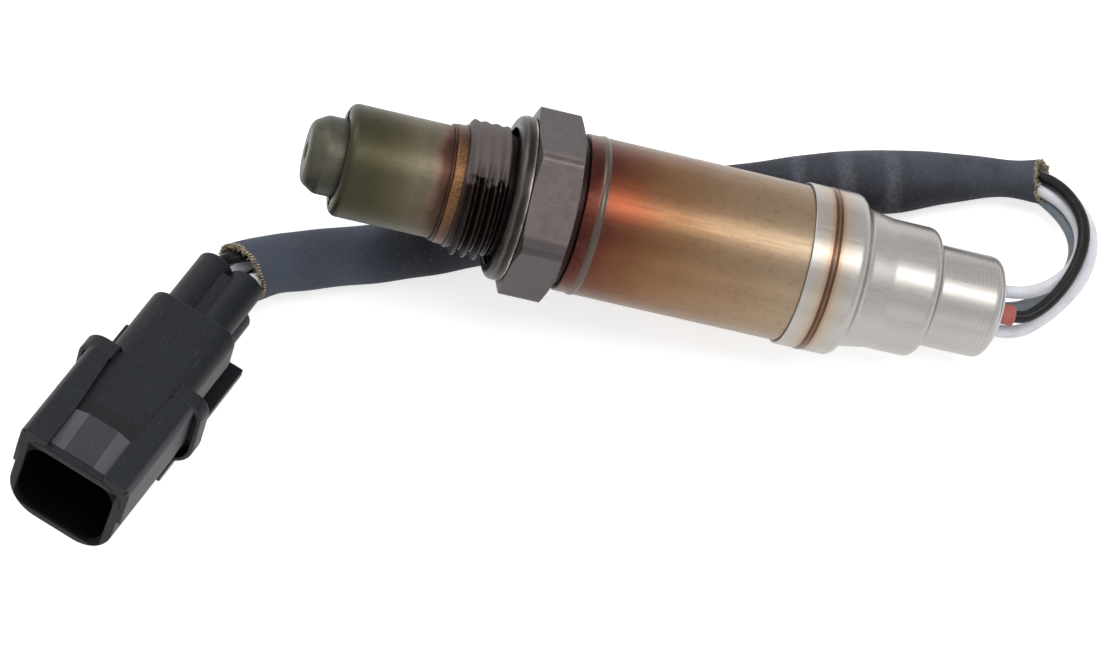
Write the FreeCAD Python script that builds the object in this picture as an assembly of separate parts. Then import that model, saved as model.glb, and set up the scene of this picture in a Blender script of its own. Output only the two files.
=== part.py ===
import FreeCAD, Part
import math
import os

Vector = FreeCAD.Vector
origin = Vector(0, 0, 0)
along = Vector(1, 0, 0)

# Oxygen sensor with four leads, an insulating sleeve and a sealed four-way connector, in millimetres.
# The sensor is built along its own X axis, nose towards -X, with the gasket's seat face at X = 0.
# It is then laid down as it rests: cap rim on the surface, hexagon on the insulating sleeve, nose raised.

# How the sensor lies, in degrees: nose raised, and turned about its own axis
lie_tilt = 13.7
lie_roll = 21.7

# Clearances between pieces that are pushed together
press_gap = 0.02
slip_gap = 0.05
slot_gap = 0.15

# Threaded body with its hexagon
hex_across_flats = 22.0
hex_width = 6.2
hex_face_dia = 22.4
hex_chamfer_width = 0.4
thread_dia = 18.0
thread_pitch = 1.5
thread_depth = 0.92
thread_length = 6.0
crest_width = 0.25
relief_dia = 15.9
relief_width = 0.3
nose_collar_dia = 15.8
nose_collar_length = 1.5
neck_dia = 19.6
neck_width = 0.9
spigot_length = 4.2
rim_dia = 14.8
rim_length = 1.5
rim_lip = 0.7
rim_bore_dia = 10.6
chamber_dia = 12.6
chamber_front = -2.2
chamber_seat_depth = 1.6
nose_bore_dia = 8.8

# Captive gasket, folded from sheet
gasket_width = 2.2
gasket_dia = 22.0
gasket_bore_dia = 18.3
gasket_back_bore_dia = 16.4
gasket_sheet = 0.4
gasket_round = 1.1
gasket_fold_gap = 0.45
gasket_fold_depth = 0.9

# Protection tubes round the sensing tip
tube_sheet = 0.4
outer_tube_dia = 15.0
outer_tube_length = 14.0
outer_tube_flange_dia = 15.6
outer_tube_round = 1.2
lip_bore_dia = 11.1
lip_notches = 6
lip_notch_width = 1.6
lip_notch_depth = 0.9
inner_tube_dia = 10.4
inner_tube_flange_dia = 14.4
knob_length = 4.4
knob_face_dia = 8.0
knob_cone_length = 2.0
knob_hole_dia = 2.3
knob_round = 1.4
inlet_holes = 6
inlet_hole_dia = 1.6
inlet_hole_place = 4.5

# Ceramic stack and the sensing strip
element_width = 4.2
element_thickness = 1.3
element_tip = -19.0
element_tail = 37.0
front_ceramic_length = 5.5
powder_length = 5.0
rear_ceramic_dia = 9.6
rear_ceramic_tail = 12.5

# Contact holder, its spring and the four contact clips
holder_dia = 12.8
holder_length = 13.0
holder_channel_width = 4.8
holder_channel_height = 2.4
spring_sheet = 0.35
spring_length = 6.0
spring_place = 3.0
spring_slot = 1.5
spring_arms = 6
clip_sheet = 0.25
clip_width = 1.1
clip_spread = 1.05
clip_bow = 0.12
clip_reach = 9.0
crimp_dia = 2.2
crimp_length = 4.0
crimp_floor = 0.7

# Protective sleeve and the stepped cap
sleeve_dia = 21.0
sleeve_wall = 0.5
sleeve_end = 45.5
weld_place = 2.3
weld_width = 0.9
weld_height = 0.15
cap_wall = 0.35
cap_front = 39.8
cap_weld_place = 3.2
cap_shoulder = 47.6
cap_shoulder_slope = 1.0
cap_shoulder_round = 1.5
cap_shoulder_fillet = 1.4
cap_cone_dia = 18.8
cap_cone_end = 52.0
cap_middle_dia = 17.46
cap_middle_end = 58.4
cap_middle_slope = 0.5
cap_middle_round = 1.4
cap_middle_fillet = 0.5
cap_small_dia = 13.7
cap_end = 67.8
cap_end_round = 1.5
cap_mouth_dia = 11.2

# Lead grommet with a seal round each lead
grommet_front = 59.0
grommet_dome = 1.0
lead_dia = 1.7
lead_circle_dia = 5.4
lead_turn = 6.0
seal_dia = 2.75
seal_start = 61.0
seal_ends = (70.3, 69.1, 69.1, 69.1)

# Insulating sleeve over the leads
hose_dia = 8.2
hose_wall = 1.0

# Connector housing, built along its own X axis from the lead side to the mouth
connector_length = 41.5
mouth_slant = 2.6
lobe_dia = 5.2
lobe_spread = 2.34
lobe_upper = 2.9
lobe_lower = -2.0
lower_lobe_inset = 1.6
lobe_web_top = 4.9
body_start = 9.4
body_width = 12.8
body_top = 6.0
body_bottom = -4.6
body_end = 21.6
body_round = 2.6
body_low_round = 4.2
collar_width = 18.8
collar_start = 21.0
collar_thickness = 2.4
collar_wall = 0.7
collar_recess = 1.6
collar_top = 6.9
collar_bottom = -8.0
collar_round = 3.6
collar_low_round = 5.6
shroud_width = 15.5
shroud_top = 5.9
shroud_bottom = -7.2
shroud_round = 3.6
shroud_low_round = 4.8
shroud_wall = 1.3
shroud_floor = 26.0
guide_outer_width = 16.4
guide_inner_width = 8.4
guide_rear_width = 9.8
guide_top = 6.9
guide_bottom = -0.2
guide_end = 39.8
ramp_start = 32.5
ramp_end = 38.3
ramp_width = 8.4
ramp_crown_width = 4.4
ramp_height = 1.35
ramp_side_height = 0.65
rail_start = 5.4
rail_end = 26.5
rail_width = 14.3
rail_bottom = -8.2
rail_thickness = 1.4
rail_web_width = 6.4
cavity_dia = 2.5
seal_pocket_depth = 6.0
wire_seal_dia = 3.8
wire_seal_length = 5.2
wire_seal_start = 0.4
wire_seal_ribs = 2
wire_seal_rib_depth = 0.25
terminal_dia = 2.2
terminal_start = 8.0
pin_width = 1.5
pin_thickness = 0.8
pin_end = 32.0
lock_thickness = 1.2
lock_gap = 0.2

# Where the connector lies: rear centre on the surface plan, then heading, rise and lean of its mouth in degrees
connector_place = (-35.1, -12.2)
connector_heading = 248.3
connector_rise = 18.5
connector_lean = -4.0

# Route of the insulating sleeve from the sensor's lead end to the connector: across the surface, and
# how far its middle stands above its own radius where it arches up to carry the hexagon
hose_route = [
    (70.8, 20.1, 0.0),
    (65.4, 19.9, 0.0),
    (56.4, 18.3, 0.0),
    (41.1, 15.2, 0.3),
    (25.4, 10.3, 0.9),
    (8.6, 4.4, 1.4),
    (-6.9, -0.8, 0.8),
    (-20.0, -4.6, 0.0),
    (-26.4, -6.6, 0.0),
]

# Inside the sleeve each lead keeps its own lane: sideways and upwards from the sleeve's middle
lane_side = (-0.25, 0.97)
lane_rise = 0.95

# Each lead's points outside the sleeve: across the surface and height above it
lead_first_run = 1.2
lead_last_run = 3.0
black_loop = [
    (72.3, -0.5, 7.55),
    (74.1, 1.7, 7.45),
    (75.7, 4.6, 7.3),
    (76.9, 7.9, 7.1),
    (77.4, 10.9, 6.9),
    (76.9, 14.0, 6.65),
    (75.2, 16.9, 6.4),
    (72.7, 19.15, 6.15),
    (69.5, 20.5, 5.3),
]
black_tail = [(-26.6, -5.4, 5.2), (-30.2, -5.3, 6.1), (-33.4, -5.9, 7.4)]
white_1_loop = [
    (70.9, 3.1, 6.3),
    (73.3, 4.9, 5.7),
    (75.3, 7.6, 5.3),
    (76.2, 10.7, 5.05),
    (75.9, 13.8, 4.8),
    (74.1, 16.2, 4.7),
    (71.8, 17.9, 4.75),
    (69.0, 18.8, 4.9),
]
white_1_tail = [(-23.2, -6.4, 5.0), (-26.4, -7.2, 5.6), (-29.3, -8.1, 7.0)]
grey_loop = [
    (70.3, 2.3, 2.6),
    (73.2, 4.2, 2.7),
    (75.3, 6.8, 2.85),
    (76.6, 9.9, 2.9),
    (76.7, 13.1, 2.9),
    (75.2, 15.9, 2.8),
    (72.7, 17.85, 2.8),
    (69.7, 18.9, 2.95),
]
grey_tail = [(-26.2, -7.6, 2.95), (-29.9, -9.3, 3.2)]
white_2_loop = [
    (70.4, -1.5, 3.35),
    (73.0, 0.8, 2.8),
    (75.8, 4.1, 2.4),
    (77.9, 7.8, 2.1),
    (78.7, 11.6, 2.1),
    (78.1, 15.2, 2.3),
    (75.9, 18.1, 2.65),
    (72.7, 20.1, 3.0),
    (68.9, 21.0, 3.05),
]
white_2_tail = [(-26.6, -5.6, 2.9), (-30.8, -6.4, 2.7), (-34.6, -7.9, 3.2)]


# Sizes that follow from those above
hex_front = gasket_width
hex_rear = hex_front + hex_width
neck_rear = hex_rear + neck_width
spigot_rear = neck_rear + spigot_length
rim_rear = spigot_rear + rim_length
thread_rear = -relief_width
thread_front = thread_rear - thread_length
nose_end = thread_front - nose_collar_length
thread_radius = thread_dia / 2
root_radius = thread_radius - thread_depth
sleeve_bore = sleeve_dia / 2 - sleeve_wall
tilt_sine = math.sin(math.radians(lie_tilt))
tilt_cosine = math.cos(math.radians(lie_tilt))


def rim_depth(end, dia, rounding):
    # How far below the origin a rounded rim of the cap reaches once the sensor is tilted
    return (end - rounding) * tilt_sine + (dia / 2 - rounding) * tilt_cosine + rounding


surface_depth = rim_depth(cap_end, cap_small_dia, cap_end_round)


def rounded_outline(corners):
    # Closed outline in the X-Z plane from corners (x, radius, rounding), with a tangent arc at each rounding
    points = [Vector(c[0], 0, c[1]) for c in corners]
    count = len(points)
    edges = []
    entry = []
    leave = []
    arcs = []
    for i, corner in enumerate(corners):
        here = points[i]
        before = (points[i - 1] - here).normalize()
        after = (points[(i + 1) % count] - here).normalize()
        if corner[2] > 0:
            half = before.getAngle(after) / 2
            reach = corner[2] / math.tan(half)
            start = here + before * reach
            end = here + after * reach
            middle_way = (before + after).normalize()
            centre = here + middle_way * (corner[2] / math.sin(half))
            middle = centre - middle_way * corner[2]
            entry.append(start)
            leave.append(end)
            arcs.append(Part.Arc(start, middle, end).toShape())
        else:
            entry.append(here)
            leave.append(here)
            arcs.append(None)
    for i in range(count):
        if arcs[i] is not None:
            edges.append(arcs[i])
        start = leave[i]
        end = entry[(i + 1) % count]
        if start.distanceToPoint(end) > 1e-6:
            edges.append(Part.LineSegment(start, end).toShape())
    return Part.Wire(edges)


def turned(corners):
    # Solid of revolution about the X axis
    face = Part.Face(rounded_outline(corners))
    return face.revolve(origin, along, 360)


def rod(start, end, dia, side=0.0, height=0.0):
    # Round bar along X
    return Part.makeCylinder(dia / 2, end - start, Vector(start, side, height), along)


def block(start, end, width, low, high, side=0.0):
    # Box along X, centred on its side position
    return Part.makeBox(end - start, width, high - low, Vector(start, side - width / 2, low))


def rounded_block(start, end, width, low, high, rounding, low_rounding=None):
    # Box along X with its four long edges rounded, the lower two by a radius of their own if given
    box = block(start, end, width, low, high)
    long_edges = [e for e in box.Edges if abs(e.tangentAt(e.FirstParameter).x) > 0.99]
    middle = (low + high) / 2
    upper = [e for e in long_edges if e.CenterOfMass.z > middle]
    lower = [e for e in long_edges if e.CenterOfMass.z < middle]
    box = box.makeFillet(rounding, upper)
    lower = [
        e for e in box.Edges
        if abs(e.tangentAt(e.FirstParameter).x) > 0.99 and abs(e.CenterOfMass.z - low) < 1e-4
        and abs(abs(e.CenterOfMass.y) - width / 2) < 1e-4
    ]
    return box.makeFillet(low_rounding or rounding, lower)


def turned_about_axis(shape, degrees):
    turned_shape = shape.copy()
    turned_shape.rotate(origin, along, degrees)
    return turned_shape


def on_circle(degrees):
    # A lead's place round the sensor's axis, measured from the top towards -Y
    angle = math.radians(degrees)
    radius = lead_circle_dia / 2
    return (-radius * math.sin(angle), radius * math.cos(angle))


def laid(shape):
    # Turn the sensor about its own axis and let its nose rise
    placed = shape.copy()
    placed.rotate(origin, along, lie_roll)
    placed.rotate(origin, Vector(0, 1, 0), lie_tilt)
    return placed


def laid_point(point):
    turn = FreeCAD.Rotation(Vector(0, 1, 0), lie_tilt).multiply(FreeCAD.Rotation(along, lie_roll))
    return turn.multVec(point)


connector_turn = FreeCAD.Rotation(Vector(0, 0, 1), connector_heading).multiply(
    FreeCAD.Rotation(Vector(0, 1, 0), -connector_rise)
).multiply(FreeCAD.Rotation(along, connector_lean))


def connector_rear_height():
    # The rail's lower rear corner rests on the surface
    lows = [connector_turn.multVec(Vector(rail_start, side * rail_width / 2, rail_bottom)).z for side in (-1, 1)]
    return -min(lows) - surface_depth


def connector_point(point):
    rear = Vector(connector_place[0], connector_place[1], connector_rear_height())
    return rear + connector_turn.multVec(point)


def seated_connector(shape):
    placed = shape.copy()
    rear = Vector(connector_place[0], connector_place[1], connector_rear_height())
    placed.Placement = FreeCAD.Placement(rear, connector_turn).multiply(placed.Placement)
    return placed


def saved(name, shape):
    shape.exportStep("parts/" + name + ".step")
    print(name, "volume", round(shape.Volume, 2), "solids", len(shape.Solids), "valid", shape.isValid())


def sensor_housing():
    # Nose collar, thread as a run of crests, relief, hexagon, neck, spigot and the rim crimped inwards
    flank = thread_depth * math.tan(math.radians(30))
    outer = [
        (nose_end, nose_bore_dia / 2, 0),
        (nose_end, nose_collar_dia / 2, 0.2),
        (thread_front, nose_collar_dia / 2, 0),
    ]
    crests = int(thread_length / thread_pitch)
    first = thread_rear - thread_pitch * (crests - 0.5)
    for k in range(crests):
        centre = first + k * thread_pitch
        outer += [
            (centre - crest_width / 2 - flank, root_radius, 0),
            (centre - crest_width / 2, thread_radius, 0),
            (centre + crest_width / 2, thread_radius, 0),
            (centre + crest_width / 2 + flank, root_radius, 0),
        ]
    outer += [
        (thread_rear, relief_dia / 2, 0),
        (hex_front, relief_dia / 2, 0),
        (hex_front, gasket_back_bore_dia / 2, 0),
        (hex_rear, gasket_back_bore_dia / 2, 0),
        (hex_rear, neck_dia / 2, 0),
        (neck_rear, neck_dia / 2, 0),
        (neck_rear, sleeve_bore - press_gap, 0),
        (spigot_rear, sleeve_bore - press_gap, 0),
        (spigot_rear, rim_dia / 2, 0),
        (rim_rear, rim_dia / 2, 0.6),
        (rim_rear, rim_bore_dia / 2, 0),
        (rim_rear - rim_lip, rim_bore_dia / 2, 0),
        (rim_rear - rim_lip, chamber_dia / 2, 0),
        (chamber_front + chamber_seat_depth, chamber_dia / 2, 0),
        (chamber_front, nose_bore_dia / 2, 0),
    ]
    shank = turned(outer)
    corner = hex_across_flats / math.sqrt(3)
    corners = []
    for k in range(7):
        angle = math.radians(60 * k)
        corners.append(Vector(hex_front, corner * math.cos(angle), corner * math.sin(angle)))
    prism = Part.Face(Part.makePolygon(corners)).extrude(Vector(hex_width, 0, 0))
    chamfers = turned([
        (hex_front, 0, 0),
        (hex_front, hex_face_dia / 2, 0),
        (hex_front + hex_chamfer_width, corner, 0),
        (hex_rear - hex_chamfer_width, corner, 0),
        (hex_rear, hex_face_dia / 2, 0),
        (hex_rear, 0, 0),
    ])
    core = rod(hex_front, hex_rear, gasket_back_bore_dia - 0.5)
    hexagon = prism.common(chamfers).cut(core)
    return shank.fuse(hexagon).removeSplitter()


def gasket():
    # Sheet ring: seat wall, rounded outer wall, back flange, and the sheet's end folded inside
    back = gasket_width
    fold = gasket_sheet + gasket_fold_gap
    inner_wall = gasket_dia / 2 - gasket_sheet
    fold_end = inner_wall - gasket_fold_depth
    return turned([
        (0, gasket_bore_dia / 2, 0),
        (0, gasket_dia / 2, gasket_round),
        (back, gasket_dia / 2, 0.3),
        (back, gasket_back_bore_dia / 2 + slip_gap, 0),
        (back - gasket_sheet, gasket_back_bore_dia / 2 + slip_gap, 0),
        (back - gasket_sheet, inner_wall, 0),
        (fold + gasket_sheet, inner_wall, 0),
        (fold + gasket_sheet, fold_end, 0),
        (fold, fold_end, 0),
        (fold, inner_wall, 0),
        (gasket_sheet, inner_wall, 0),
        (gasket_sheet, gasket_bore_dia / 2, 0),
    ])


def outer_protection_tube():
    # Drawn tube welded to the nose collar, with a notched lip turned in round the inner tube
    rear = nose_end - tube_sheet
    front = rear - outer_tube_length + tube_sheet
    inner = outer_tube_dia / 2 - tube_sheet
    tube = turned([
        (front, lip_bore_dia / 2, 0),
        (front, outer_tube_dia / 2, outer_tube_round),
        (rear - tube_sheet, outer_tube_dia / 2, 0),
        (rear - tube_sheet, outer_tube_flange_dia / 2, 0),
        (rear, outer_tube_flange_dia / 2, 0),
        (rear, inner, 0),
        (front + tube_sheet, inner, outer_tube_round - tube_sheet),
        (front + tube_sheet, lip_bore_dia / 2, 0),
    ])
    for k in range(lip_notches):
        notch = block(
            front - tube_sheet,
            front + 2 * tube_sheet,
            lip_notch_width,
            0,
            lip_bore_dia / 2 + lip_notch_depth,
        )
        tube = tube.cut(turned_about_axis(notch, (k + 0.5) * 360 / lip_notches))
    return tube


def inner_protection_tube():
    # Drawn cup with a coned nose, one hole on its axis and a ring of inlets hidden by the outer tube
    rear = nose_end
    front = rear - outer_tube_length - knob_length
    radius = inner_tube_dia / 2
    inner = radius - tube_sheet
    cone_end = front + knob_cone_length
    tube = turned([
        (front, knob_hole_dia / 2, 0),
        (front, knob_face_dia / 2, knob_round),
        (cone_end, radius, knob_round),
        (rear - tube_sheet, radius, 0),
        (rear - tube_sheet, inner_tube_flange_dia / 2, 0),
        (rear, inner_tube_flange_dia / 2, 0),
        (rear, inner, 0),
        (cone_end + tube_sheet, inner, 0),
        (front + tube_sheet, knob_face_dia / 2 - tube_sheet / 2, 0),
        (front + tube_sheet, knob_hole_dia / 2, 0),
    ])
    for k in range(inlet_holes):
        hole = Part.makeCylinder(
            inlet_hole_dia / 2,
            inner_tube_dia,
            Vector(rear - inlet_hole_place, 0, 0),
            Vector(0, 0, 1),
        )
        tube = tube.cut(turned_about_axis(hole, k * 360 / inlet_holes))
    return tube


def strip_slot(start, end, gap):
    # Space for the sensing strip through a ceramic
    height = element_thickness / 2 + gap
    return block(start, end, element_width + 2 * gap, -height, height)


def ceramic_stack():
    # Front ceramic, pressed powder and rear ceramic, each with its slot for the strip
    radius = chamber_dia / 2
    seat = chamber_front + chamber_seat_depth
    front_end = chamber_front + front_ceramic_length
    powder_end = front_end + powder_length
    rear_shoulder = rim_rear - rim_lip
    rear_end = rim_rear + rear_ceramic_tail
    front = turned([
        (chamber_front, 0, 0),
        (chamber_front, nose_bore_dia / 2 - slip_gap, 0),
        (seat, radius - slip_gap, 0),
        (front_end, radius - slip_gap, 0),
        (front_end, 0, 0),
    ])
    front = front.cut(strip_slot(chamber_front - 1, front_end + 1, slot_gap))
    powder = rod(front_end, powder_end, chamber_dia - 2 * press_gap)
    powder = powder.cut(strip_slot(front_end - 1, powder_end + 1, press_gap))
    rear = turned([
        (powder_end, 0, 0),
        (powder_end, radius - slip_gap, 0),
        (rear_shoulder, radius - slip_gap, 0),
        (rear_shoulder, rear_ceramic_dia / 2, 0),
        (rear_end, rear_ceramic_dia / 2, 0),
        (rear_end, 0, 0),
    ])
    rear = rear.cut(strip_slot(powder_end - 1, rear_end + 1, slot_gap))
    return front, powder, rear, rear_end


def contact_holder(front):
    # Two ceramic halves round the strip's contact end
    rear = front + holder_length
    whole = rod(front, rear, holder_dia)
    channel_half = holder_channel_height / 2
    whole = whole.cut(block(front - 1, rear + 1, holder_channel_width, -channel_half, channel_half))
    reach = holder_dia
    upper = whole.common(block(front - 1, rear + 1, 2 * reach, slip_gap, reach))
    lower = whole.common(block(front - 1, rear + 1, 2 * reach, -reach, -slip_gap))
    return upper, lower


def holder_spring(front):
    # Split ring that clamps the halves, with a slotted flange that centres it in the sleeve
    start = front + spring_place
    bore = holder_dia / 2 + press_gap
    ring = turned([
        (start, bore, 0),
        (start, sleeve_bore - press_gap, 0),
        (start + spring_sheet, sleeve_bore - press_gap, 0),
        (start + spring_sheet, bore + spring_sheet, 0),
        (start + spring_length, bore + spring_sheet, 0),
        (start + spring_length, bore, 0),
    ])
    slit = block(start - 1, start + spring_length + 1, spring_slot, 0, sleeve_dia)
    ring = ring.cut(slit)
    for k in range(1, spring_arms):
        notch = block(
            start - 1,
            start + spring_sheet + slip_gap,
            spring_slot,
            bore + 2 * spring_sheet,
            sleeve_dia,
        )
        ring = ring.cut(turned_about_axis(notch, k * 360 / spring_arms))
    return ring


def contact_clip(front, side, face):
    # Bowed spring blade on the strip, bent out to a crimp cup on its lead's line
    lead_offset = lead_circle_dia / 2 / math.sqrt(2)
    rest_height = element_thickness / 2 + press_gap + clip_sheet / 2
    cup_start = front + holder_length + 1.5
    stations = [
        (front + 2.0, clip_spread, rest_height + 2 * clip_bow),
        (front + 4.5, clip_spread, rest_height),
        (front + 4.5 + clip_reach, clip_spread, rest_height + clip_bow),
        (cup_start + crimp_floor / 2, lead_offset - 0.35, lead_offset - 0.35),
    ]
    sections = []
    for place, across, up in stations:
        half = clip_width / 2
        thick = clip_sheet / 2
        corners = [
            Vector(place, side * (across - half), face * (up - thick)),
            Vector(place, side * (across + half), face * (up - thick)),
            Vector(place, side * (across + half), face * (up + thick)),
            Vector(place, side * (across - half), face * (up + thick)),
        ]
        sections.append(Part.makePolygon(corners + corners[:1]))
    blade = Part.makeLoft(sections, True, True)
    cup = rod(cup_start, cup_start + crimp_length, crimp_dia, side * lead_offset, face * lead_offset)
    bore = rod(
        cup_start + crimp_floor,
        cup_start + crimp_length + 1,
        lead_dia + 2 * press_gap,
        side * lead_offset,
        face * lead_offset,
    )
    return blade.fuse(cup.cut(bore)).removeSplitter(), cup_start + crimp_floor


def protective_sleeve():
    # Drawn sleeve over the spigot, with the raised bead of its weld
    weld = neck_rear + weld_place
    outer = sleeve_dia / 2
    return turned([
        (neck_rear, sleeve_bore, 0),
        (neck_rear, outer, 0.2),
        (weld - weld_width / 2, outer, 0),
        (weld - weld_width / 4, outer + weld_height, 0),
        (weld + weld_width / 4, outer + weld_height, 0),
        (weld + weld_width / 2, outer, 0),
        (sleeve_end, outer, 0),
        (sleeve_end, sleeve_bore, 0),
    ])


def stepped_cap():
    # Deep-drawn cap: skirt over the sleeve, rounded shoulder, coned run to the middle step, small end
    skirt_bore = sleeve_dia / 2 + slip_gap
    skirt = skirt_bore + cap_wall
    weld = cap_front + cap_weld_place
    cone = cap_cone_dia / 2
    middle = cap_middle_dia / 2
    small = cap_small_dia / 2
    mouth = cap_mouth_dia / 2
    shoulder_start = cap_shoulder - cap_shoulder_slope / 2
    shoulder_end = cap_shoulder + cap_shoulder_slope / 2
    step_start = cap_middle_end - cap_middle_slope / 2
    step_end = cap_middle_end + cap_middle_slope / 2
    return turned([
        (cap_front, skirt_bore, 0),
        (cap_front, skirt, 0),
        (weld - weld_width / 2, skirt, 0),
        (weld - weld_width / 4, skirt + weld_height / 2, 0),
        (weld + weld_width / 4, skirt + weld_height / 2, 0),
        (weld + weld_width / 2, skirt, 0),
        (shoulder_start, skirt, cap_shoulder_round),
        (shoulder_end, cone, cap_shoulder_fillet),
        (cap_cone_end, middle, 0),
        (step_start, middle, cap_middle_round),
        (step_end, small, cap_middle_fillet),
        (cap_end, small, cap_end_round),
        (cap_end, mouth - cap_wall, 0),
        (cap_end - cap_wall, mouth - cap_wall, 0),
        (cap_end - cap_wall, small - cap_wall, cap_end_round - cap_wall),
        (step_end - cap_wall, small - cap_wall, 0),
        (step_start - cap_wall, middle - cap_wall, cap_middle_round - cap_wall),
        (cap_cone_end, middle - cap_wall, 0),
        (shoulder_end - cap_wall, cone - cap_wall, 0),
        (shoulder_start - cap_wall, skirt_bore, cap_shoulder_round - cap_wall),
    ])


def lead_grommet():
    # White grommet filling the small end, domed where the leads come out
    radius = cap_small_dia / 2 - cap_wall - slip_gap
    neck = cap_mouth_dia / 2 - cap_wall - slip_gap
    seat = cap_end - cap_wall - slip_gap
    sag = grommet_dome
    dome_radius = (neck * neck + sag * sag) / (2 * sag)
    body = turned([
        (grommet_front, 0, 0),
        (grommet_front, radius, 0),
        (seat, radius, cap_end_round - cap_wall),
        (seat, neck, 0),
        (cap_end + sag, neck, 0),
        (cap_end + sag, 0, 0),
    ])
    ball = Part.makeSphere(dome_radius, Vector(cap_end + sag - dome_radius, 0, 0))
    keep = ball.fuse(rod(grommet_front - 1, cap_end - sag, 3 * radius))
    body = body.common(keep)
    for k in range(4):
        side, height = on_circle(lead_turn + 90 * k)
        body = body.cut(rod(grommet_front - 1, cap_end + 2 * sag, seal_dia + 2 * press_gap, side, height))
    return body.removeSplitter()


def lead_seal(k):
    side, height = on_circle(lead_turn + 90 * k)
    seal = rod(seal_start, seal_ends[k], seal_dia, side, height)
    return seal.cut(rod(seal_start - 1, seal_ends[k] + 1, lead_dia + 2 * press_gap, side, height))


def lead_lanes():
    # Centres of the four lead cavities in the connector
    return {
        "black": (-lobe_spread, lobe_upper),
        "white_1": (lobe_spread, lobe_upper),
        "grey": (lobe_spread, lobe_lower),
        "white_2": (-lobe_spread, lobe_lower),
    }


def connector_housing():
    # Lead lobes, body, collar, shroud with two top guides, locking ramp and the rail underneath
    housing = rounded_block(
        body_start, body_end, body_width, body_bottom, body_top, body_round, body_low_round
    )
    lobe_end = body_start + 0.6
    for side, height in lead_lanes().values():
        start = lower_lobe_inset if height < 0 else 0.0
        housing = housing.fuse(rod(start, lobe_end, lobe_dia, side, height))
    bridge_low = lobe_lower - lobe_dia / 4
    housing = housing.fuse(block(lower_lobe_inset, lobe_end, 2 * lobe_spread, bridge_low, lobe_web_top))
    housing = housing.fuse(connector_collar())
    shroud_start = collar_start + 0.4
    shroud = rounded_block(
        shroud_start,
        connector_length,
        shroud_width,
        shroud_bottom,
        shroud_top,
        shroud_round,
        shroud_low_round,
    )
    guides = block(shroud_start, guide_end, guide_outer_width, guide_bottom, guide_top)
    channel_floor = shroud_top - 0.3
    corners = [
        Vector(shroud_start - 1, -guide_rear_width / 2, channel_floor),
        Vector(ramp_start, -guide_inner_width / 2, channel_floor),
        Vector(guide_end + 1, -guide_inner_width / 2, channel_floor),
        Vector(guide_end + 1, guide_inner_width / 2, channel_floor),
        Vector(ramp_start, guide_inner_width / 2, channel_floor),
        Vector(shroud_start - 1, guide_rear_width / 2, channel_floor),
    ]
    channel = Part.Face(Part.makePolygon(corners + corners[:1])).extrude(Vector(0, 0, guide_top))
    guides = guides.cut(channel)
    guide_edges = [
        e for e in guides.Edges
        if abs(e.tangentAt(e.FirstParameter).x) > 0.99
        and abs(abs(e.CenterOfMass.y) - guide_outer_width / 2) < 1e-4
        and abs(e.CenterOfMass.z - guide_top) < 1e-4
    ]
    guides = guides.makeFillet(1.1, guide_edges)
    housing = housing.fuse(shroud).fuse(guides)
    housing = housing.fuse(locking_ramp())
    web = block(rail_start + 1, rail_end - 1, rail_web_width, rail_bottom, body_bottom + 1)
    rail = block(rail_start, rail_end, rail_width, rail_bottom, rail_bottom + rail_thickness)
    rail_edges = [e for e in rail.Edges if abs(e.tangentAt(e.FirstParameter).z) > 0.99]
    rail = rail.makeFillet(0.8, rail_edges)
    housing = housing.fuse(web).fuse(rail)
    opening = rounded_block(
        shroud_floor,
        connector_length + 1,
        shroud_width - 2 * shroud_wall,
        shroud_bottom + shroud_wall,
        shroud_top - shroud_wall,
        shroud_round - shroud_wall / 2,
        shroud_low_round - shroud_wall / 2,
    )
    housing = housing.cut(opening).cut(mouth_plane())
    for side, height in lead_lanes().values():
        start = lower_lobe_inset if height < 0 else 0.0
        pocket = rod(start - 1, start + seal_pocket_depth, wire_seal_dia + 2 * press_gap, side, height)
        housing = housing.cut(pocket)
        housing = housing.cut(rod(start, shroud_floor + 1, cavity_dia, side, height))
    return housing.removeSplitter()


def connector_collar():
    # Plate whose rim stands forward as a shallow cup, left open above the body between the two guides
    end = collar_start + collar_thickness
    collar = rounded_block(
        collar_start, end, collar_width, collar_bottom, collar_top, collar_round, collar_low_round
    )
    recess = rounded_block(
        end - collar_recess,
        end + 1,
        collar_width - 2 * collar_wall,
        shroud_bottom + 0.2,
        collar_top - collar_wall,
        collar_round - collar_wall,
        collar_low_round - collar_wall,
    )
    gap = block(collar_start - 1, end + 1, guide_rear_width, body_top, collar_top + 1)
    return collar.cut(recess).cut(gap)


def mouth_plane():
    # Wedge that cuts the mouth back towards the top
    half = collar_width
    corners = [
        Vector(connector_length - mouth_slant, -half, guide_top + 1),
        Vector(connector_length, -half, shroud_bottom - 1),
        Vector(connector_length + 5, -half, shroud_bottom - 1),
        Vector(connector_length + 5, -half, guide_top + 1),
    ]
    return Part.Face(Part.makePolygon(corners + corners[:1])).extrude(Vector(0, 2 * half, 0))


def locking_ramp():
    # Three-faced ramp between the guides, rising away from the mouth to a square locking face
    base = shroud_top - 0.5
    half = ramp_width / 2
    crown = ramp_crown_width / 2
    sections = []
    for place, share in ((ramp_start, 1.0), (ramp_end, 0.08)):
        side_top = shroud_top - 0.3 + ramp_side_height * share
        crown_top = shroud_top - 0.3 + ramp_height * share
        corners = [
            Vector(place, -half, base),
            Vector(place, -half, side_top),
            Vector(place, -crown, crown_top),
            Vector(place, crown, crown_top),
            Vector(place, half, side_top),
            Vector(place, half, base),
        ]
        sections.append(Part.makePolygon(corners + corners[:1]))
    return Part.makeLoft(sections, True, True)


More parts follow.
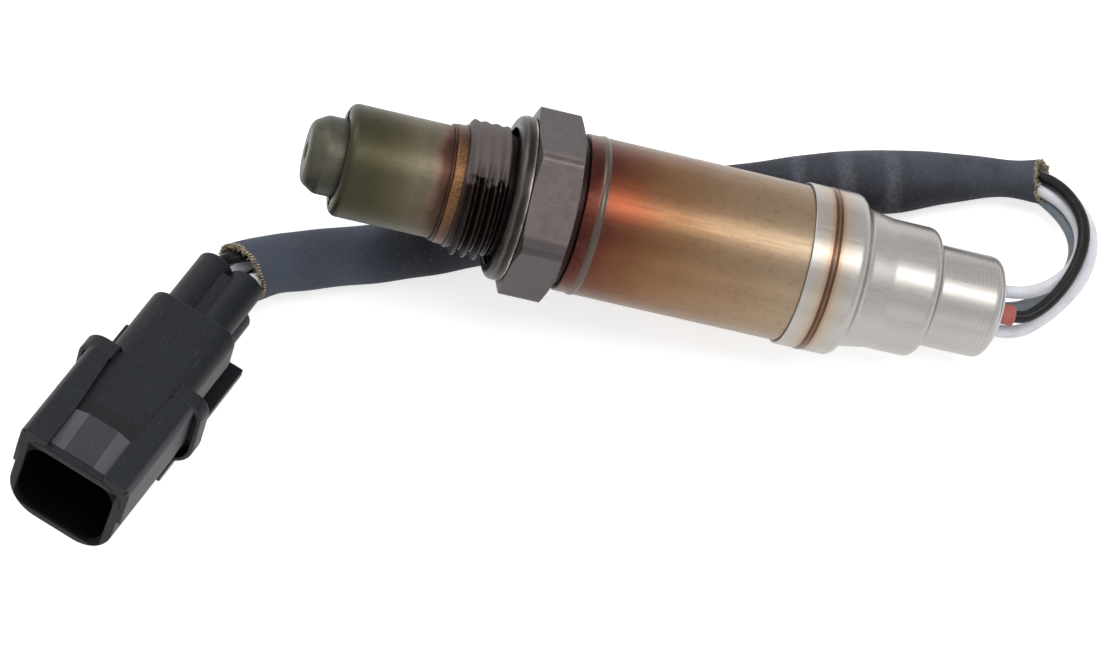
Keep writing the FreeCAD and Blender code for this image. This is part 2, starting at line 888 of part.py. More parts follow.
def wire_seal(side, height):
    # Ribbed rubber seal round one lead in its cavity
    start = wire_seal_start + (lower_lobe_inset if height < 0 else 0.0)
    radius = wire_seal_dia / 2
    groove = wire_seal_length / (2 * wire_seal_ribs + 1)
    bore = lead_dia / 2 + press_gap
    corners = [(start, bore, 0), (start, radius, 0)]
    for k in range(wire_seal_ribs):
        low = start + groove * (2 * k + 1)
        corners += [
            (low, radius, 0),
            (low, radius - wire_seal_rib_depth, 0),
            (low + groove, radius - wire_seal_rib_depth, 0),
            (low + groove, radius, 0),
        ]
    corners += [(start + wire_seal_length, radius, 0), (start + wire_seal_length, bore, 0)]
    seal = turned(corners[:1] + corners[1:])
    seal.translate(Vector(0, side, height))
    return seal


def terminal(side, height):
    # Round crimp body that narrows to a flat pin inside the shroud
    body = rod(terminal_start, shroud_floor - lock_gap, terminal_dia, side, height)
    socket = rod(terminal_start - 1, terminal_start + 2.0, lead_dia + 2 * press_gap, side, height)
    pin = block(
        shroud_floor - 1,
        pin_end,
        pin_width,
        height - pin_thickness / 2,
        height + pin_thickness / 2,
        side,
    )
    tip = [e for e in pin.Edges if abs(e.CenterOfMass.x - pin_end) < 1e-4]
    pin = pin.makeChamfer(0.25, tip)
    return body.cut(socket).fuse(pin).removeSplitter()


def terminal_lock():
    # Plate on the shroud's floor that keeps the four terminals from backing out
    low = shroud_bottom + shroud_wall + lock_gap
    high = shroud_top - shroud_wall - lock_gap
    width = shroud_width - 2 * shroud_wall - 2 * lock_gap
    rounding = shroud_round - shroud_wall / 2 - lock_gap
    low_rounding = shroud_low_round - shroud_wall / 2 - lock_gap
    end = shroud_floor + lock_thickness
    plate = rounded_block(shroud_floor, end, width, low, high, rounding, low_rounding)
    for side, height in lead_lanes().values():
        window = block(
            shroud_floor - 1,
            shroud_floor + lock_thickness + 1,
            pin_width + 2 * lock_gap,
            height - pin_thickness / 2 - lock_gap,
            height + pin_thickness / 2 + lock_gap,
            side,
        )
        plate = plate.cut(window)
    return plate


def route_path(points):
    # Straight runs joined by tangent arcs; each radius is 0.45 of the shorter run over tan(half the turn)
    edges = []
    radii = []
    start = points[0]
    for i in range(1, len(points) - 1):
        back = points[i - 1] - points[i]
        ahead = points[i + 1] - points[i]
        turn = math.pi - back.getAngle(ahead)
        reach = 0.45 * min(back.Length, ahead.Length)
        radius = reach / math.tan(turn / 2)
        radii.append(round(radius, 1))
        back.normalize()
        ahead.normalize()
        entry = points[i] + back * reach
        leave = points[i] + ahead * reach
        middle_way = (back + ahead).normalize()
        centre = points[i] + middle_way * math.hypot(radius, reach)
        middle = centre - middle_way * radius
        edges.append(Part.LineSegment(start, entry).toShape())
        edges.append(Part.Arc(entry, middle, leave).toShape())
        start = leave
    edges.append(Part.LineSegment(start, points[-1]).toShape())
    return Part.Wire(edges), radii


def swept(path, points, dia):
    direction = points[1] - points[0]
    ring = Part.Wire([Part.Circle(points[0], direction, dia / 2).toShape()])
    return path.makePipeShell([ring], True, False)


def cord(name, points, dia):
    path, radii = route_path(points)
    tube = swept(path, points, dia)
    share = tube.Volume / (math.pi * dia * dia / 4 * path.Length)
    print(name, "length", round(path.Length, 1), "radii", radii, "volume share", round(share, 4))
    return tube


def above_surface(point):
    return Vector(point[0], point[1], point[2] - surface_depth)


def lane_points(side, rise):
    # The lead's own line inside the insulating sleeve, beside the sleeve's middle points
    points = []
    for x, y, arch in hose_route[1:-1]:
        height = hose_dia / 2 + arch + rise
        points.append(above_surface((x + side * lane_side[0], y + side * lane_side[1], height)))
    return points


def lead(k, loop, side, rise, tail, lane):
    # From the seal's face, round the loop, through the insulating sleeve and into the connector
    across, up = on_circle(lead_turn + 90 * k)
    start = laid_point(Vector(seal_ends[k], across, up))
    first = laid_point(Vector(seal_ends[k] + lead_first_run, across, up))
    inset = lower_lobe_inset if lane[1] < 0 else 0.0
    last = connector_point(Vector(inset - lead_last_run, lane[0], lane[1]))
    end = connector_point(Vector(inset, lane[0], lane[1]))
    points = [start, first] + [above_surface(p) for p in loop]
    points += lane_points(side, rise) + [above_surface(p) for p in tail] + [last, end]
    return points


def lead_ends(clip_floor):
    # The stretches of the leads held inside the sensor and inside the connector
    pieces = []
    for k in range(4):
        side, height = on_circle(lead_turn + 90 * k)
        pieces.append(laid(rod(clip_floor, seal_ends[k], lead_dia, side, height)))
    for side, height in lead_lanes().values():
        start = lower_lobe_inset if height < 0 else 0.0
        pieces.append(seated_connector(rod(start, terminal_start + 2.0, lead_dia, side, height)))
    return Part.makeCompound(pieces)


os.makedirs("parts", exist_ok=True)

saved("sensor_housing", laid(sensor_housing()))
saved("gasket", laid(gasket()))
saved("outer_protection_tube", laid(outer_protection_tube()))
saved("inner_protection_tube", laid(inner_protection_tube()))

inner_turn = lead_turn - 45
front_ceramic, powder, rear_ceramic, holder_front = ceramic_stack()
saved("front_ceramic", laid(turned_about_axis(front_ceramic, inner_turn)))
saved("powder_packing", laid(turned_about_axis(powder, inner_turn)))
saved("rear_ceramic", laid(turned_about_axis(rear_ceramic, inner_turn)))
half_strip = element_thickness / 2
strip = block(element_tip, element_tail, element_width, -half_strip, half_strip)
saved("sensor_element", laid(turned_about_axis(strip, inner_turn)))

holder_upper, holder_lower = contact_holder(holder_front)
saved("contact_holder_upper", laid(turned_about_axis(holder_upper, inner_turn)))
saved("contact_holder_lower", laid(turned_about_axis(holder_lower, inner_turn)))
saved("holder_spring", laid(turned_about_axis(holder_spring(holder_front), inner_turn)))
for number, (side, face) in enumerate([(1, 1), (-1, 1), (-1, -1), (1, -1)], 1):
    clip, clip_floor = contact_clip(holder_front, side, face)
    saved("contact_clip_" + str(number), laid(turned_about_axis(clip, inner_turn)))

saved("protective_sleeve", laid(protective_sleeve()))
saved("stepped_cap", laid(stepped_cap()))
saved("lead_grommet", laid(lead_grommet()))
for k in range(4):
    saved("lead_seal_" + str(k + 1), laid(lead_seal(k)))

saved("connector_housing", seated_connector(connector_housing()))
for number, (side, height) in enumerate(lead_lanes().values(), 1):
    saved("wire_seal_" + str(number), seated_connector(wire_seal(side, height)))
    saved("terminal_" + str(number), seated_connector(terminal(side, height)))
saved("terminal_lock", seated_connector(terminal_lock()))
saved("lead_ends", lead_ends(clip_floor))

lanes = lead_lanes()
leads = {
    "lead_black": lead(0, black_loop, 1, lane_rise, black_tail, lanes["black"]),
    "lead_white_2": lead(1, white_2_loop, 1, -lane_rise, white_2_tail, lanes["white_2"]),
    "lead_grey": lead(2, grey_loop, -1, -lane_rise, grey_tail, lanes["grey"]),
    "lead_white_1": lead(3, white_1_loop, -1, lane_rise, white_1_tail, lanes["white_1"]),
}
for name, points in leads.items():
    saved(name, cord(name, points, lead_dia))

hose_points = [above_surface((x, y, hose_dia / 2 + arch)) for x, y, arch in hose_route]
hose_path, hose_radii = route_path(hose_points)
hose = cord("insulating_sleeve", hose_points, hose_dia)
hose = hose.cut(swept(hose_path, hose_points, hose_dia - 2 * hose_wall))
saved("insulating_sleeve", hose)
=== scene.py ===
import bmesh
import bpy
import numpy as np
from mathutils import Matrix


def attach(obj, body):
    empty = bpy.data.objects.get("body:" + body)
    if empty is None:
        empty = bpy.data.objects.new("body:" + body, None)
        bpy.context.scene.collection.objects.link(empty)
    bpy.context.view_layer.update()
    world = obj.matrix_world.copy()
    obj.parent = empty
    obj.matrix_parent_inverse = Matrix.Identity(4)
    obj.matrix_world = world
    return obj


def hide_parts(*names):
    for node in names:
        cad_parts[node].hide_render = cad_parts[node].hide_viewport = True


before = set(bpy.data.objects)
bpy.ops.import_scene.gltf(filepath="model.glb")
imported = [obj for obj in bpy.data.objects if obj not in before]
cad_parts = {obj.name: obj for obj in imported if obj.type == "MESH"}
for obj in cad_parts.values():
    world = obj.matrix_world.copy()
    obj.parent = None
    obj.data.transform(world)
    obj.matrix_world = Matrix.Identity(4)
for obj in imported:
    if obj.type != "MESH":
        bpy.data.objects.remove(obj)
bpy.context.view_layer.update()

# An oxygen sensor lying on a pale surface with its leads, insulating sleeve and sealed connector.
# Lengths in the tables are millimetres; a mesh turns them into metres when it is made.
mm = 0.001
fullTurn = 2 * np.pi
surfaceHeight = -22.4002  # the surface that the sensor lies on


def turnAbout(axis, degrees):
    # Rotation matrix about one of the main axes
    turn = Matrix.Rotation(np.radians(degrees), 3, axis)
    return np.array([list(row) for row in turn])


def unit(vectors):
    # Directions of length one
    return vectors / np.linalg.norm(vectors, axis=-1, keepdims=True)


sensorPose = {"tilt": 13.7, "roll": 21.7}
connectorPose = {"rear": (-35.1, -12.2, surfaceHeight + 6.517), "heading": 248.3, "rise": 18.5, "lean": -4.0}
sensorTurn = turnAbout("Y", sensorPose["tilt"]) @ turnAbout("X", sensorPose["roll"])
connectorTurn = (
    turnAbout("Z", connectorPose["heading"])
    @ turnAbout("Y", -connectorPose["rise"])
    @ turnAbout("X", connectorPose["lean"])
)
framePlace = (np.eye(3), np.zeros(3))
sensorPlace = (sensorTurn, np.zeros(3))
connectorPlace = (connectorTurn, np.array(connectorPose["rear"]))
surfacePlace = (np.eye(3), np.array([0.0, 0.0, surfaceHeight]))


def placed(points, place):
    # A piece's own millimetres to the common frame's metres: turned, then moved
    turn, rear = place
    return (np.asarray(points, float) @ turn.T + rear) * mm


# Camera at the photograph's angle
view = {
    "elevation": 70.0,
    "azimuth": 8.57,
    "distance": 560.0,
    "target": (8.69, -14.59, -6.16),
    "lens": 140.39,
}


def addAimed(name, data, right, upward, back, place):
    # A camera or lamp at its place in metres, looking away from its back direction
    matrix = np.eye(4)
    matrix[:3] = np.stack([right, upward, back, place], 1)
    piece = bpy.data.objects.new(name, data)
    piece.matrix_world = Matrix(matrix.tolist())
    bpy.context.collection.objects.link(piece)
    return piece


def setCamera():
    elevation, azimuth = np.radians(view["elevation"]), np.radians(view["azimuth"])
    right = np.array([np.cos(azimuth), np.sin(azimuth), 0.0])
    forward = np.array([-np.sin(azimuth), np.cos(azimuth), 0.0])
    upward = np.sin(elevation) * forward + np.cos(elevation) * np.array([0.0, 0.0, 1.0])
    back = np.cross(right, upward)
    place = (np.array(view["target"]) + view["distance"] * back) * mm
    data = bpy.data.cameras.new("camera")
    data.lens = view["lens"]
    data.sensor_width = 36.0
    data.sensor_fit = "HORIZONTAL"
    data.clip_start = 0.01
    data.clip_end = 20.0
    bpy.context.scene.camera = addAimed("camera", data, right, upward, back, place)


setCamera()
print("camera set")

# Meshes from grids of points
arcSteps = 7  # points on a rounded corner of a turned profile
edgeGap = 0.05  # how close to a straight run's ends its first and last points lie
shortRun = 0.25  # a straight run no longer than this has no points of its own


def meshPiece(name, points, faces, uv=None, sharp=32, poles=False):
    # Vertices and faces into an object at the origin, facing outwards, smooth with sharp edges by angle
    points = np.asarray(points, float)
    first, second, third, fourth = [points[faces[:, k]] for k in range(4)]
    volume = np.einsum("ij,ij->i", first, np.cross(second, third)).sum()
    volume += np.einsum("ij,ij->i", first, np.cross(third, fourth)).sum()
    if volume < 0:
        faces = faces[:, ::-1]
        uv = None if uv is None else uv[:, ::-1]
    mesh = bpy.data.meshes.new(name)
    mesh.vertices.add(len(points))
    mesh.vertices.foreach_set("co", points.astype(np.float32).ravel())
    mesh.loops.add(faces.size)
    mesh.loops.foreach_set("vertex_index", faces.ravel().astype(np.int32))
    mesh.polygons.add(len(faces))
    mesh.polygons.foreach_set("loop_start", np.arange(0, faces.size, 4, dtype=np.int32))
    mesh.update(calc_edges=True)
    if uv is not None:
        layer = mesh.uv_layers.new(name="along")
        layer.data.foreach_set("uv", uv.reshape(-1, 2).astype(np.float32).ravel())
    if poles:
        work = bmesh.new()
        work.from_mesh(mesh)
        bmesh.ops.remove_doubles(work, verts=work.verts, dist=1e-7)
        work.to_mesh(mesh)
        work.free()
    mesh.polygons.foreach_set("use_smooth", np.ones(len(mesh.polygons), bool))
    mesh.set_sharp_from_angle(angle=np.radians(sharp))
    mesh.validate()
    piece = bpy.data.objects.new(name, mesh)
    bpy.context.collection.objects.link(piece)
    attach(piece, "root")
    return piece


def travelled(points):
    # How far along a line of points each one lies
    step = np.linalg.norm(np.diff(points, axis=0), axis=1)
    return np.concatenate([[0.0], np.cumsum(step)])


def gridPiece(name, grid, place, closed=True, sharp=32):
    # Grid of rows and columns of points: every four neighbours make a face, and the last column joins the
    # first. On a closed profile the last row joins the first; otherwise each end row is a single point
    rows, columns = grid.shape[:2]
    index = np.arange(rows * columns).reshape(rows, columns)
    upper = index if closed else index[:-1]
    lower = np.roll(index, -1, 0) if closed else index[1:]
    faces = np.stack([upper, lower, np.roll(lower, -1, 1), np.roll(upper, -1, 1)], -1).reshape(-1, 4)
    middles = grid.mean(1)
    travel = travelled(np.concatenate([middles, middles[-1:]]))
    low, high = travel[: len(upper)], travel[1: len(upper) + 1]
    across = np.arange(columns) / columns
    u0, v0 = np.meshgrid(across, low)
    u1, v1 = np.meshgrid(across + 1 / columns, high)
    uv = np.stack([np.stack(corner, -1) for corner in ((u0, v0), (u0, v1), (u1, v1), (u1, v0))], 2)
    return meshPiece(name, placed(grid.reshape(-1, 3), place), faces, uv.reshape(-1, 4, 2), sharp, not closed)


def outline(corners, closed=True, step=2.5):
    # Line through corners (x, radius, rounding): a tangent arc at each rounding, and points held close to
    # both ends of every straight run so that the arcs' shading stays on the arcs
    spots = np.array([corner[:2] for corner in corners], float)
    count = len(spots)
    pieces = []
    for i, corner in enumerate(corners):
        here, rounding = spots[i], corner[2]
        if rounding <= 0 or (not closed and i in (0, count - 1)):
            pieces.append(here[None])
            continue
        before = unit(spots[i - 1] - here)
        after = unit(spots[(i + 1) % count] - here)
        half = np.arccos(np.clip(before @ after, -1, 1)) / 2
        centre = here + unit(before + after) * rounding / np.sin(half)
        start = here + before * rounding / np.tan(half) - centre
        end = here + after * rounding / np.tan(half) - centre
        share = np.linspace(0, 1, arcSteps)[:, None]
        sweep = np.pi - 2 * half
        arc = (np.sin((1 - share) * sweep) * start + np.sin(share * sweep) * end) / np.sin(sweep)
        pieces.append(centre + arc)
    line = []
    for i in range(count):
        line.append(pieces[i])
        start, end = pieces[i][-1], pieces[(i + 1) % count][0]
        length = np.linalg.norm(end - start)
        if (closed or i < count - 1) and length > shortRun:
            inner = np.linspace(0, 1, max(2, int(length / step) + 1))[1:-1]
            share = np.concatenate([[edgeGap / length], inner, [1 - edgeGap / length]])
            line.append(start + np.unique(share)[:, None] * (end - start))
    return np.concatenate(line)


def turnedGrid(line, count=240, side=0.0, height=0.0, shape=None):
    # Profile (x, radius) carried round an axis along X; shape may change the radius by place and angle
    x = np.repeat(line[:, :1], count, 1)
    radius = np.repeat(line[:, 1:2], count, 1)
    angle = np.broadcast_to(np.linspace(0, fullTurn, count, endpoint=False), x.shape)
    if shape is not None:
        radius = shape(x, radius, angle)
    return np.stack([x, side + radius * np.cos(angle), height + radius * np.sin(angle)], -1)


def turnedPiece(name, corners, place=sensorPlace, count=240, step=2.5, shape=None, side=0.0, height=0.0):
    return gridPiece(name, turnedGrid(outline(corners, True, step), count, side, height, shape), place)


def smoothStep(low, high, value):
    # Three times the share squared less twice its cube, where the share runs from 0 at low to 1 at high
    share = np.clip((value - low) / (high - low), 0, 1)
    return share * share * (3 - 2 * share)


# Node trees. A colour in a table or a call is three numbers from 0 to 255, as a screen shows it
def paint(red, green, blue):
    # A screen colour on the shader's own scale
    share = np.array([red, green, blue]) / 255
    linear = np.where(share <= 0.04045, share / 12.92, ((share + 0.055) / 1.055) ** 2.4)
    return (*[float(value) for value in linear], 1.0)


def setSocket(tree, socket, value):
    if isinstance(value, bpy.types.NodeSocket):
        tree.links.new(value, socket)
    elif socket.type == "RGBA":
        socket.default_value = paint(*value)
    else:
        socket.default_value = value


def addNode(tree, kind, inputs=None, **settings):
    node = tree.nodes.new(kind)
    for key, value in settings.items():
        setattr(node, key, value)
    for key, value in (inputs or {}).items():
        setSocket(tree, node.inputs[key], value)
    return node


def newFinish(name, metallic, roughness, specular=0.5):
    material = bpy.data.materials.new(name)
    material.use_nodes = True
    tree = material.node_tree
    shader = tree.nodes["Principled BSDF"]
    shader.inputs["Metallic"].default_value = metallic
    shader.inputs["Roughness"].default_value = roughness
    shader.inputs["Specular IOR Level"].default_value = specular
    return material, tree, shader


def localCoords(tree, pose="frame", stretch=(1.0, 1.0, 1.0)):
    # Object coordinates turned into the frame's, the sensor's or the connector's own millimetres
    coords = tree.nodes.new("ShaderNodeTexCoord").outputs["Object"]
    turn, rear = (0.0, 0.0, 0.0), (0.0, 0.0, 0.0)
    if pose == "sensor":
        turn = (sensorPose["roll"], sensorPose["tilt"], 0.0)
    if pose == "connector":
        turn = (connectorPose["lean"], -connectorPose["rise"], connectorPose["heading"])
        rear = tuple(value * mm for value in connectorPose["rear"])
    inputs = {"Vector": coords, "Rotation": tuple(np.radians(turn)), "Location": rear, "Scale": (mm, mm, mm)}
    own = addNode(tree, "ShaderNodeMapping", inputs, vector_type="TEXTURE").outputs[0]
    if stretch == (1.0, 1.0, 1.0):
        return own
    return addNode(tree, "ShaderNodeMapping", {"Vector": own, "Scale": stretch}).outputs[0]


def noise(tree, coords, scale, detail, roughness=0.55):
    inputs = {"Vector": coords, "Scale": scale, "Detail": detail, "Roughness": roughness}
    return addNode(tree, "ShaderNodeTexNoise", inputs).outputs["Fac"]


def ramp(tree, value, stops):
    node = addNode(tree, "ShaderNodeValToRGB", {"Fac": value})
    elements = node.color_ramp.elements
    elements.remove(elements[1])
    elements[0].position, elements[0].color = stops[0][0], paint(*stops[0][1])
    for position, colour in stops[1:]:
        elements.new(position).color = paint(*colour)
    return node.outputs["Color"]


def scaled(tree, value, low, high, newLow=0.0, newHigh=1.0, curve="LINEAR"):
    # A field's stretch from low to high carried over to newLow and newHigh, and held there beyond its ends
    inputs = {"Value": value, "From Min": low, "From Max": high, "To Min": newLow, "To Max": newHigh}
    return addNode(tree, "ShaderNodeMapRange", inputs, interpolation_type=curve).outputs[0]


def spread(tree, value, low, high, newLow=0.0, newHigh=1.0):
    # The same with soft ends
    return scaled(tree, value, low, high, newLow, newHigh, "SMOOTHSTEP")


def mathOf(tree, operation, first, second=0.5):
    return addNode(tree, "ShaderNodeMath", {0: first, 1: second}, operation=operation).outputs[0]


def times(tree, *values):
    # Product of fields and numbers
    product = values[0]
    for value in values[1:]:
        product = mathOf(tree, "MULTIPLY", product, value)
    return product


def summed(tree, *parts):
    # Sum of fields, each times its own weight
    total = times(tree, *parts[0])
    for part in parts[1:]:
        total = mathOf(tree, "ADD", total, times(tree, *part))
    return total


def window(tree, value, rise, fall):
    # One between two places, fading over the pair of places at each
    return times(tree, spread(tree, value, *rise), spread(tree, value, *fall))


def wandered(tree, value, field, reach):
    # A field pushed to and fro by noise: value + (noise - 0.5) * reach
    return mathOf(tree, "ADD", value, times(tree, mathOf(tree, "SUBTRACT", field, 0.5), reach))


def distanceFrom(tree, value, place):
    return mathOf(tree, "ABSOLUTE", mathOf(tree, "SUBTRACT", value, place))


def blended(tree, share, under, over):
    node = addNode(tree, "ShaderNodeMix", data_type="RGBA")
    for place, value in ((0, share), (6, under), (7, over)):
        setSocket(tree, node.inputs[place], value)
    return node.outputs[2]


def layered(tree, tone, *layers):
    # Colours laid over one another: each comes in as its field goes from low to high, up to its share
    for field, low, high, share, colour in layers:
        tone = blended(tree, spread(tree, field, low, high, 0.0, share), tone, colour)
    return tone


def parted(tree, coords):
    return addNode(tree, "ShaderNodeSeparateXYZ", {"Vector": coords}).outputs


def dress(tree, shader, tone, gloss=None, relief=None, distance=0.04, strength=0.5):
    # A finish's colour, roughness and relief; the relief's distance is in millimetres
    tree.links.new(tone, shader.inputs["Base Color"])
    if gloss is not None:
        tree.links.new(gloss, shader.inputs["Roughness"])
    if relief is not None:
        inputs = {"Height": relief, "Strength": strength, "Distance": distance * mm}
        tree.links.new(addNode(tree, "ShaderNodeBump", inputs).outputs[0], shader.inputs["Normal"])


def finishPiece(piece, material, slotName, *replaced):
    piece.data.materials.clear()
    piece.data.materials.append(material)
    if replaced:
        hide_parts(*replaced)
    return piece


# Leads: the points of each lead's line, the way round the loop and through the sleeve
grommet = {
    "circle": 5.4, "turn": 6.0, "ends": (70.3, 68.75, 68.75, 68.75), "sealStart": 61.0, "sealDia": 2.75,
    "line": ((59.2, 0), (59.2, 6.4, 0.3), (66.2, 6.4, 0.4), (67.2, 5.15, 0.3), (68.2, 5.15, 0.4), (68.35, 0)),
}
leadSize = {"dia": 1.7, "firstRun": 1.2, "lastRun": 1.4, "side": (-0.25, 0.97), "rise": 0.95, "around": 32}
cavities = {"black": (-2.34, 2.9), "white_1": (2.34, 2.9), "grey": (2.34, -2.0), "white_2": (-2.34, -2.0)}
lowerLobeInset = 1.6
hoseSize = {"dia": 8.2, "length": 108.0, "wall": 0.55}
hoseRoute = [
    (70.8, 20.1, 0.0), (65.4, 19.9, 0.0), (56.4, 18.3, 0.0), (41.1, 15.2, 0.3), (25.4, 10.3, 0.9),
    (8.6, 4.4, 1.4), (-6.9, -0.8, 0.8), (-20.0, -4.6, 0.0), (-26.0, -6.3, 0.5), (-30.4, -7.9, 1.6),
    (-33.6, -9.9, 2.6),
]
leadRoutes = {
    "black": {
        "seal": 0, "side": 1, "rise": 1, "length": 142.8,
        "loop": [
            (71.5, -0.35, 7.6), (73.4, 1.6, 7.45), (75.2, 4.4, 7.3), (76.5, 7.7, 7.1), (77.1, 10.8, 6.9),
            (76.8, 14.0, 6.65), (75.2, 16.9, 6.4), (72.7, 19.15, 6.15), (69.5, 20.5, 5.3),
        ],
        "tail": [(-26.4, -5.0, 5.9), (-30.6, -6.6, 7.2), (-34.1, -8.2, 8.2)],
    },
    "white_2": {
        "seal": 1, "side": 1, "rise": -1, "length": 149.3,
        "loop": [
            (70.4, -1.5, 3.35), (73.0, 0.8, 2.8), (75.8, 4.1, 2.4), (77.9, 7.8, 2.1), (78.7, 11.6, 2.1),
            (78.1, 15.2, 2.3), (75.9, 18.1, 2.65), (72.7, 20.1, 3.0), (68.9, 21.0, 3.05),
        ],
        "tail": [(-26.4, -5.1, 3.8), (-30.8, -6.7, 4.9), (-34.6, -9.1, 5.5)],
    },
    "grey": {
        "seal": 2, "side": -1, "rise": -1, "length": 137.8,
        "loop": [
            (70.3, 2.3, 2.6), (73.2, 4.2, 2.7), (75.3, 6.8, 2.85), (76.4, 9.9, 2.9), (76.1, 12.8, 2.9),
            (74.5, 15.4, 2.8), (72.2, 17.4, 2.8), (69.7, 18.9, 2.95),
        ],
        "tail": [(-25.6, -6.7, 3.8), (-29.4, -8.1, 4.8), (-32.2, -10.2, 5.4)],
    },
    "white_1": {
        "seal": 3, "side": -1, "rise": 1, "length": 133.4,
        "loop": [
            (70.9, 3.1, 6.3), (73.6, 4.8, 5.7), (75.9, 7.4, 5.2), (77.0, 10.5, 4.95), (76.5, 13.9, 4.75),
            (74.5, 16.6, 4.65), (72.0, 18.2, 4.65), (69.0, 18.8, 4.9),
        ],
        "tail": [(-24.8, -6.9, 5.6), (-27.6, -8.9, 5.9), (-30.3, -11.0, 7.3)],
    },
}
leadFinishes = {  # material, colour, dirt, roughness, slot
    "black": ("blackInsulation", (12, 12, 14), (46, 44, 46), 0.34, "black_insulation"),
    "white_2": ("whiteInsulationLow", (220, 222, 228), (190, 184, 182), 0.42, "white_insulation"),
    "grey": ("greyInsulation", (122, 132, 138), (96, 102, 106), 0.42, "grey_insulation"),
    "white_1": ("whiteInsulationHigh", (216, 218, 225), (184, 183, 184), 0.42, "white_insulation"),
}


def sealSpot(number):
    # Where one of the four seals stands on the grommet's circle
    angle = np.radians(grommet["turn"] + 90 * number)
    radius = grommet["circle"] / 2
    return -radius * np.sin(angle), radius * np.cos(angle)


def leadPoints(key):
    # From the seal's face along the axis, round the loop, through the sleeve, then into the connector
    route = leadRoutes[key]
    side, height = sealSpot(route["seal"])
    end = grommet["ends"][route["seal"]]
    start = placed([(end, side, height), (end + leadSize["firstRun"], side, height)], sensorPlace)
    lane = [
        (
            x + route["side"] * leadSize["side"][0],
            y + route["side"] * leadSize["side"][1],
            hoseSize["dia"] / 2 + arch + route["rise"] * leadSize["rise"],
        )
        for x, y, arch in hoseRoute[1:8]
    ]
    middle = placed(route["loop"] + lane + route["tail"], surfacePlace)
    across, up = cavities[key]
    inset = lowerLobeInset if up < 0 else 0.0
    last = placed([(inset - leadSize["lastRun"], across, up), (inset, across, up)], connectorPlace)
    return np.concatenate([start, middle, last])


def splineLine(points):
    # One open NURBS spline of order three that ends on its first and last points, read from a bare curve
    curve = bpy.data.curves.new("route", "CURVE")
    curve.dimensions = "3D"
    curve.resolution_u = 10
    spline = curve.splines.new("NURBS")
    spline.points.add(len(points) - 1)
    for spot, point in zip(spline.points, points):
        spot.co = (*point, 1.0)
    spline.order_u = 3
    spline.use_endpoint_u = True
    piece = bpy.data.objects.new("route", curve)
    bpy.context.collection.objects.link(piece)
    bpy.context.view_layer.update()
    mesh = bpy.data.meshes.new_from_object(piece)
    line = np.array([list(vertex.co) for vertex in mesh.vertices])
    bpy.data.objects.remove(piece)
    bpy.data.curves.remove(curve)
    bpy.data.meshes.remove(mesh)
    return line


def tubeFrames(line, stations, around):
    # Even stations along a line, the way ahead at each, and the ring of directions square to it:
    # across * cos(angle) + upward * sin(angle)
    travel = travelled(line)
    spots = np.linspace(0, travel[-1], stations)
    centre = np.stack([np.interp(spots, travel, line[:, axis]) for axis in range(3)], 1)
    ahead = unit(np.gradient(centre, axis=0))
    across = unit(np.cross(ahead, [0.0, 0.0, 1.0]))
    upward = np.cross(across, ahead)
    angle = np.linspace(0, fullTurn, around, endpoint=False)
    ring = across[:, None] * np.cos(angle)[:, None] + upward[:, None] * np.sin(angle)[:, None]
    return spots / mm, centre / mm, ahead, angle, ring


def leadPiece(name, line):
    # A round tube, centre + radius * ring, closed by a point at both ends
    _, centre, _, _, ring = tubeFrames(line, len(line), leadSize["around"])
    skin = centre[:, None] + ring * leadSize["dia"] / 2
    first, last = [np.broadcast_to(centre[spot], skin[:1].shape) for spot in (0, -1)]
    return gridPiece(name, np.concatenate([first, skin, last]), framePlace, False, 50)


def leadFinish(name, colour, dirt, roughness):
    # Smooth insulation with faint dirt where soft clouds and fine specks meet
    material, tree, shader = newFinish(name, 0.0, roughness, 0.2)
    coords = localCoords(tree)
    cloud = noise(tree, coords, 0.35, 5.0, 0.6)
    speck = noise(tree, coords, 4.0, 3.0, 0.7)
    dirty = times(tree, spread(tree, cloud, 0.42, 0.75), spread(tree, speck, 0.3, 0.75))
    tone = blended(tree, dirty, colour, dirt)
    dress(tree, shader, tone, None, noise(tree, coords, 2.5, 2.0), 0.03, 0.35)
    return material


for key, route in leadRoutes.items():
    points = leadPoints(key)
    line = splineLine(points)
    lead = leadPiece("lead_" + key + "_line", line)
    *looks, slotName = leadFinishes[key]
    finishPiece(lead, leadFinish(*looks), slotName, "lead_" + key)
print("leads made")

# Insulating sleeve: a limp tube that narrows where it is pinched, creased, with frayed ends
hose = {
    "around": 144,
    "stations": 340,
    "slack": 0.12,
    "pinch": (  # place, radius share
        (0.0, 0.78), (1.6, 0.69), (4.5, 0.62), (8.0, 0.70), (12.0, 0.83), (16.0, 0.97), (21.0, 1.1),
        (28.0, 1.1), (38.0, 1.0),
    ),
    "pinchBlur": 21,  # stations over which the pinch is evened out
    "flare": (1.06, 5.0),  # radius share at the connector's end, and its reach
    "lumps": (9.0, 17.0, 31.0),  # lengths of the slow lumps
    "lumpSize": 0.055,
    "leastInside": 2.35,  # smallest radius inside
    "slant": (1.3, -0.7),  # how far the connector's end reaches further on its upper side and on its top
    "openEnd": 1.3,  # how far the sensor's end is cut back on its top
    "cutReach": 3.0,  # how far along the tube the slant and the cut fade out
    "ragged": (0.55, 1.2),  # how far the torn rims wander, and how far in that shows
    "creases": (  # place, depth, width
        (21.6, 0.75, 1.2), (28.0, 0.6, 1.3), (34.3, 0.7, 1.1), (47.0, 0.25, 0.9), (63.0, 0.2, 0.8),
        (84.0, 0.3, 1.1),
    ),
    "creaseTurn": 110,  # the side that the creases lie on, in degrees round the tube
    "creaseSlant": 0.9,
    "seed": 11,
    "threads": 44,  # slanting threads of the braid round the tube
    "threadPitch": 0.75,
    "beads": 62,  # cut thread ends round a torn rim
}


